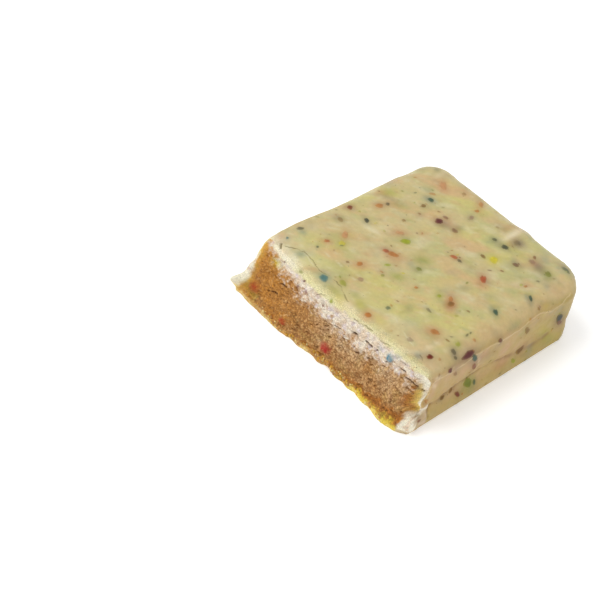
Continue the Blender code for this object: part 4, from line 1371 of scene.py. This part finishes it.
# %% Chip shape
CHIP_SIDES = 14
Ring = namedtuple("Ring", "share height veil")
CHIP_RINGS = (Ring(0.34, 0.045, 0.0), Ring(0.6, 0.04, 0.12), Ring(0.82, 0.02, 0.5), Ring(1.05, -0.03, 0.97))
CHIP_MIDDLE, CHIP_UNDER = 0.045, -0.12
CHIP_WAVES = (Ripple(0.34, 0.75, 1.7), Ripple(0.16, 0.33, 1.7))
CHIP_MOTTLE = Ripple(0.3, 0.5, 80.0)
SMALL_CHIP, LOWEST_CHIP = 0.4, -0.012


def chip_rim(number):
    """How far the outline of a chip reaches at each of its sides: wavy, with smaller notches."""
    angles = 2 * math.pi * np.arange(CHIP_SIDES) / CHIP_SIDES
    circle = np.column_stack([np.cos(angles), np.sin(angles), 0 * angles])
    bends = [wave.height * rough(circle, wave.length, wave.seed * number) for wave in CHIP_WAVES]
    return angles, sum(bends, 1)


def chip_points(spot, number):
    """The points of one chip over the icing, how high each is, and how far it is veiled."""
    angles, rim = chip_rim(number)
    around = np.outer(np.cos(angles) * rim, spot.long) + np.outer(np.sin(angles) * rim, spot.wide)
    rings = [spot.middle + around * ring.share for ring in CHIP_RINGS]
    places = np.concatenate([[spot.middle], *rings, [spot.middle]])
    heights = np.repeat([ring.height for ring in CHIP_RINGS], CHIP_SIDES)
    veils = np.repeat([ring.veil for ring in CHIP_RINGS], CHIP_SIDES)
    return places, [CHIP_MIDDLE, *heights, CHIP_UNDER], [0.0, *veils, 0.0]


def chip_faces(start):
    """The faces of one chip: a fan in the middle, bands round it, and a fan below."""
    faces, last = [], start + len(CHIP_RINGS) * CHIP_SIDES + 1
    for side in range(CHIP_SIDES):
        after = (side + 1) % CHIP_SIDES
        faces.append([start, start + 1 + side, start + 1 + after])
        for ring in range(len(CHIP_RINGS) - 1):
            low = start + 1 + ring * CHIP_SIDES
            faces.append([low + side, low + CHIP_SIDES + side, low + CHIP_SIDES + after, low + after])
        rim = last - CHIP_SIDES
        faces.append([last, rim + after, rim + side])
    return faces


def make_chips(colour, chosen):
    """All chips of one colour, as one piece."""
    points, faces, tints = [], [], []
    for number, fleck in enumerate(chosen):
        places, heights, veils = chip_points(fleck.spot, number)
        faces += chip_faces(len(points))
        small = min(1.0, np.linalg.norm(fleck.spot.long) / SMALL_CHIP)
        shade = 1 + CHIP_MOTTLE.height * rough(places, CHIP_MOTTLE.length, CHIP_MOTTLE.seed)
        for where, height, veil, light in zip(places, heights, veils, shade):
            on_skin, out, face, _ = skin_tree.find_nearest(Vector(where))
            share = fleck.veil + (1 - fleck.veil) * veil
            place = np.array(on_skin) + np.array(out) * height * small
            points.append([place[0], place[1], max(place[2], LOWEST_CHIP)])
            tints.append(COLOURS[colour] * light * (1 - share) + skin_tint[skin_faces[face][0]] * share)
    made = make_piece("confetti_" + colour, np.array(points), faces, np.array(tints),
                      finish(colour + "_sugar", 0.05, 0.12))
    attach(made, "root")


# %% Make the chips
for colour in FLECKS:
    make_chips(colour, [fleck for fleck in flecks if fleck.colour == colour])

# %% [markdown]
# ## Crumbs along the lower edge
#
# Grains have come loose and cling along the lower edge of the broken face, most of them near its
# middle. Each is a small ball dented by noise, half of it in the dough, and all are one piece.

# %% Clinging crumbs
CRUMB_SEED, CRUMB_COUNT = 5, 200
CRUMB_MIDDLE, CRUMB_SPREAD, CRUMB_LIMIT, GLAZED_FROM = -2.0, 9.0, 17, 8
CRUMB_RADIUS, CRUMB_UP, CRUMB_LIGHT = (0.1, 0.28), (0.3, 1.5), (0.85, 1.1)
CRUMB_DENT, IN_FRONT = Ripple(0.35, 0.9, 3.1), -40


def lump(middle, radius, number):
    """The points and faces of one crumb."""
    ball = bmesh.new()
    bmesh.ops.create_icosphere(ball, subdivisions=2, radius=1.0)
    points = np.array([vertex.co[:] for vertex in ball.verts])
    faces = [[vertex.index for vertex in face.verts] for face in ball.faces]
    ball.free()
    dented = 1 + CRUMB_DENT.height * rough(points, CRUMB_DENT.length, CRUMB_DENT.seed * number)
    return middle + points * radius * dented[:, None], faces


draw = random.Random(CRUMB_SEED)
crumb_points, crumb_faces, crumb_tints = [], [], []
while len(crumb_points) < CRUMB_COUNT:
    x, z = draw.gauss(CRUMB_MIDDLE, CRUMB_SPREAD), draw.uniform(*CRUMB_UP)
    place, *_ = skin_tree.ray_cast(Vector((x + SHIFT_ACROSS, IN_FRONT, z)), Vector((0, 1, 0)))
    if abs(x) > CRUMB_LIMIT or place is None:
        continue
    points, faces = lump(np.array(place), draw.uniform(*CRUMB_RADIUS), len(crumb_points))
    start = sum(len(each) for each in crumb_points)
    crumb_points.append(points)
    crumb_faces += [[start + number for number in face] for face in faces]
    last = LIP_GLAZE if x > GLAZED_FROM else DOUGH_TAN
    colour = draw.choice((LIP_PEACH, LIP_CREAM, DOUGH_TAN, FRINGE_GOLD, last))
    crumb_tints.append(np.tile(colour * draw.uniform(*CRUMB_LIGHT), (len(points), 1)))
crumb_points, crumb_tints = np.concatenate(crumb_points), np.concatenate(crumb_tints)
crumbs = make_piece("edge_crumbs", crumb_points, crumb_faces, crumb_tints,
                    finish("loose_crumb", 0.03, 0.25), 0, np.ones(len(crumb_points)))
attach(crumbs, "root")

# %% [markdown]
# ## Floor and light
#
# The photograph is a studio shot on white, with large soft lights: hardly any shadow, and a soft
# gloss. A white world gives the even light, one large lamp from the upper left gives the form, and
# the floor is nearly white. The floor shows from above alone, so that the base can be looked at.

# %% Floor
FLOOR_HALF, FLOOR_Z, PAPER_GLOW = 2000.0, -0.03, 0.25
floor_mesh = bpy.data.meshes.new("floor")
corners = np.array([(-1, -1, 0), (1, -1, 0), (1, 1, 0), (-1, 1, 0)]) * FLOOR_HALF + [0, 0, FLOOR_Z]
floor_mesh.from_pydata((corners * MM).tolist(), [], [(0, 1, 2, 3)])
floor = put("floor", floor_mesh)
paper = bpy.data.materials.new("white_paper")
paper.use_nodes = True
tree = paper.node_tree
white = tree.nodes["Principled BSDF"]
fill(tree, white, {
    "Base Color": (0.98, 0.98, 0.98, 1), "Roughness": 0.9,
    "Emission Color": (1, 1, 1, 1), "Emission Strength": PAPER_GLOW})
from_below = node(tree, "ShaderNodeNewGeometry", {}, "Backfacing")
clear = node(tree, "ShaderNodeBsdfTransparent", {}, "BSDF")
one_sided = node(tree, "ShaderNodeMixShader", {0: from_below, 1: white.outputs["BSDF"], 2: clear}, "Shader")
fill(tree, tree.nodes["Material Output"], {"Surface": one_sided})
floor_mesh.materials.append(paper)
print("floor at", FLOOR_Z, "mm, seen from above alone")

# %% Light
Lamp = namedtuple("Lamp", "name place size power")
LAMPS = (Lamp("key", (-180, -220, 420), 320, 1.25), Lamp("fill", (380, 60, 260), 300, 0.15))
WORLD_STRENGTH = 0.68

for lamp in LAMPS:
    light = bpy.data.lights.new(lamp.name, "AREA")
    light.shape, light.size, light.energy = "DISK", lamp.size * MM, lamp.power
    made = put(lamp.name, light)
    made.location, made.rotation_mode = Vector(lamp.place) * MM, "QUATERNION"
    made.rotation_quaternion = (-Vector(lamp.place)).to_track_quat("-Z", "Y")
world = bpy.data.worlds.new("studio")
world.use_nodes = True
sky = world.node_tree.nodes["Background"]
fill(world.node_tree, sky, {"Color": (1, 1, 1, 1), "Strength": WORLD_STRENGTH})
bpy.context.scene.world = world
bpy.context.scene.view_settings.view_transform = "Standard"
print("lamps:", ", ".join(lamp.name for lamp in LAMPS))
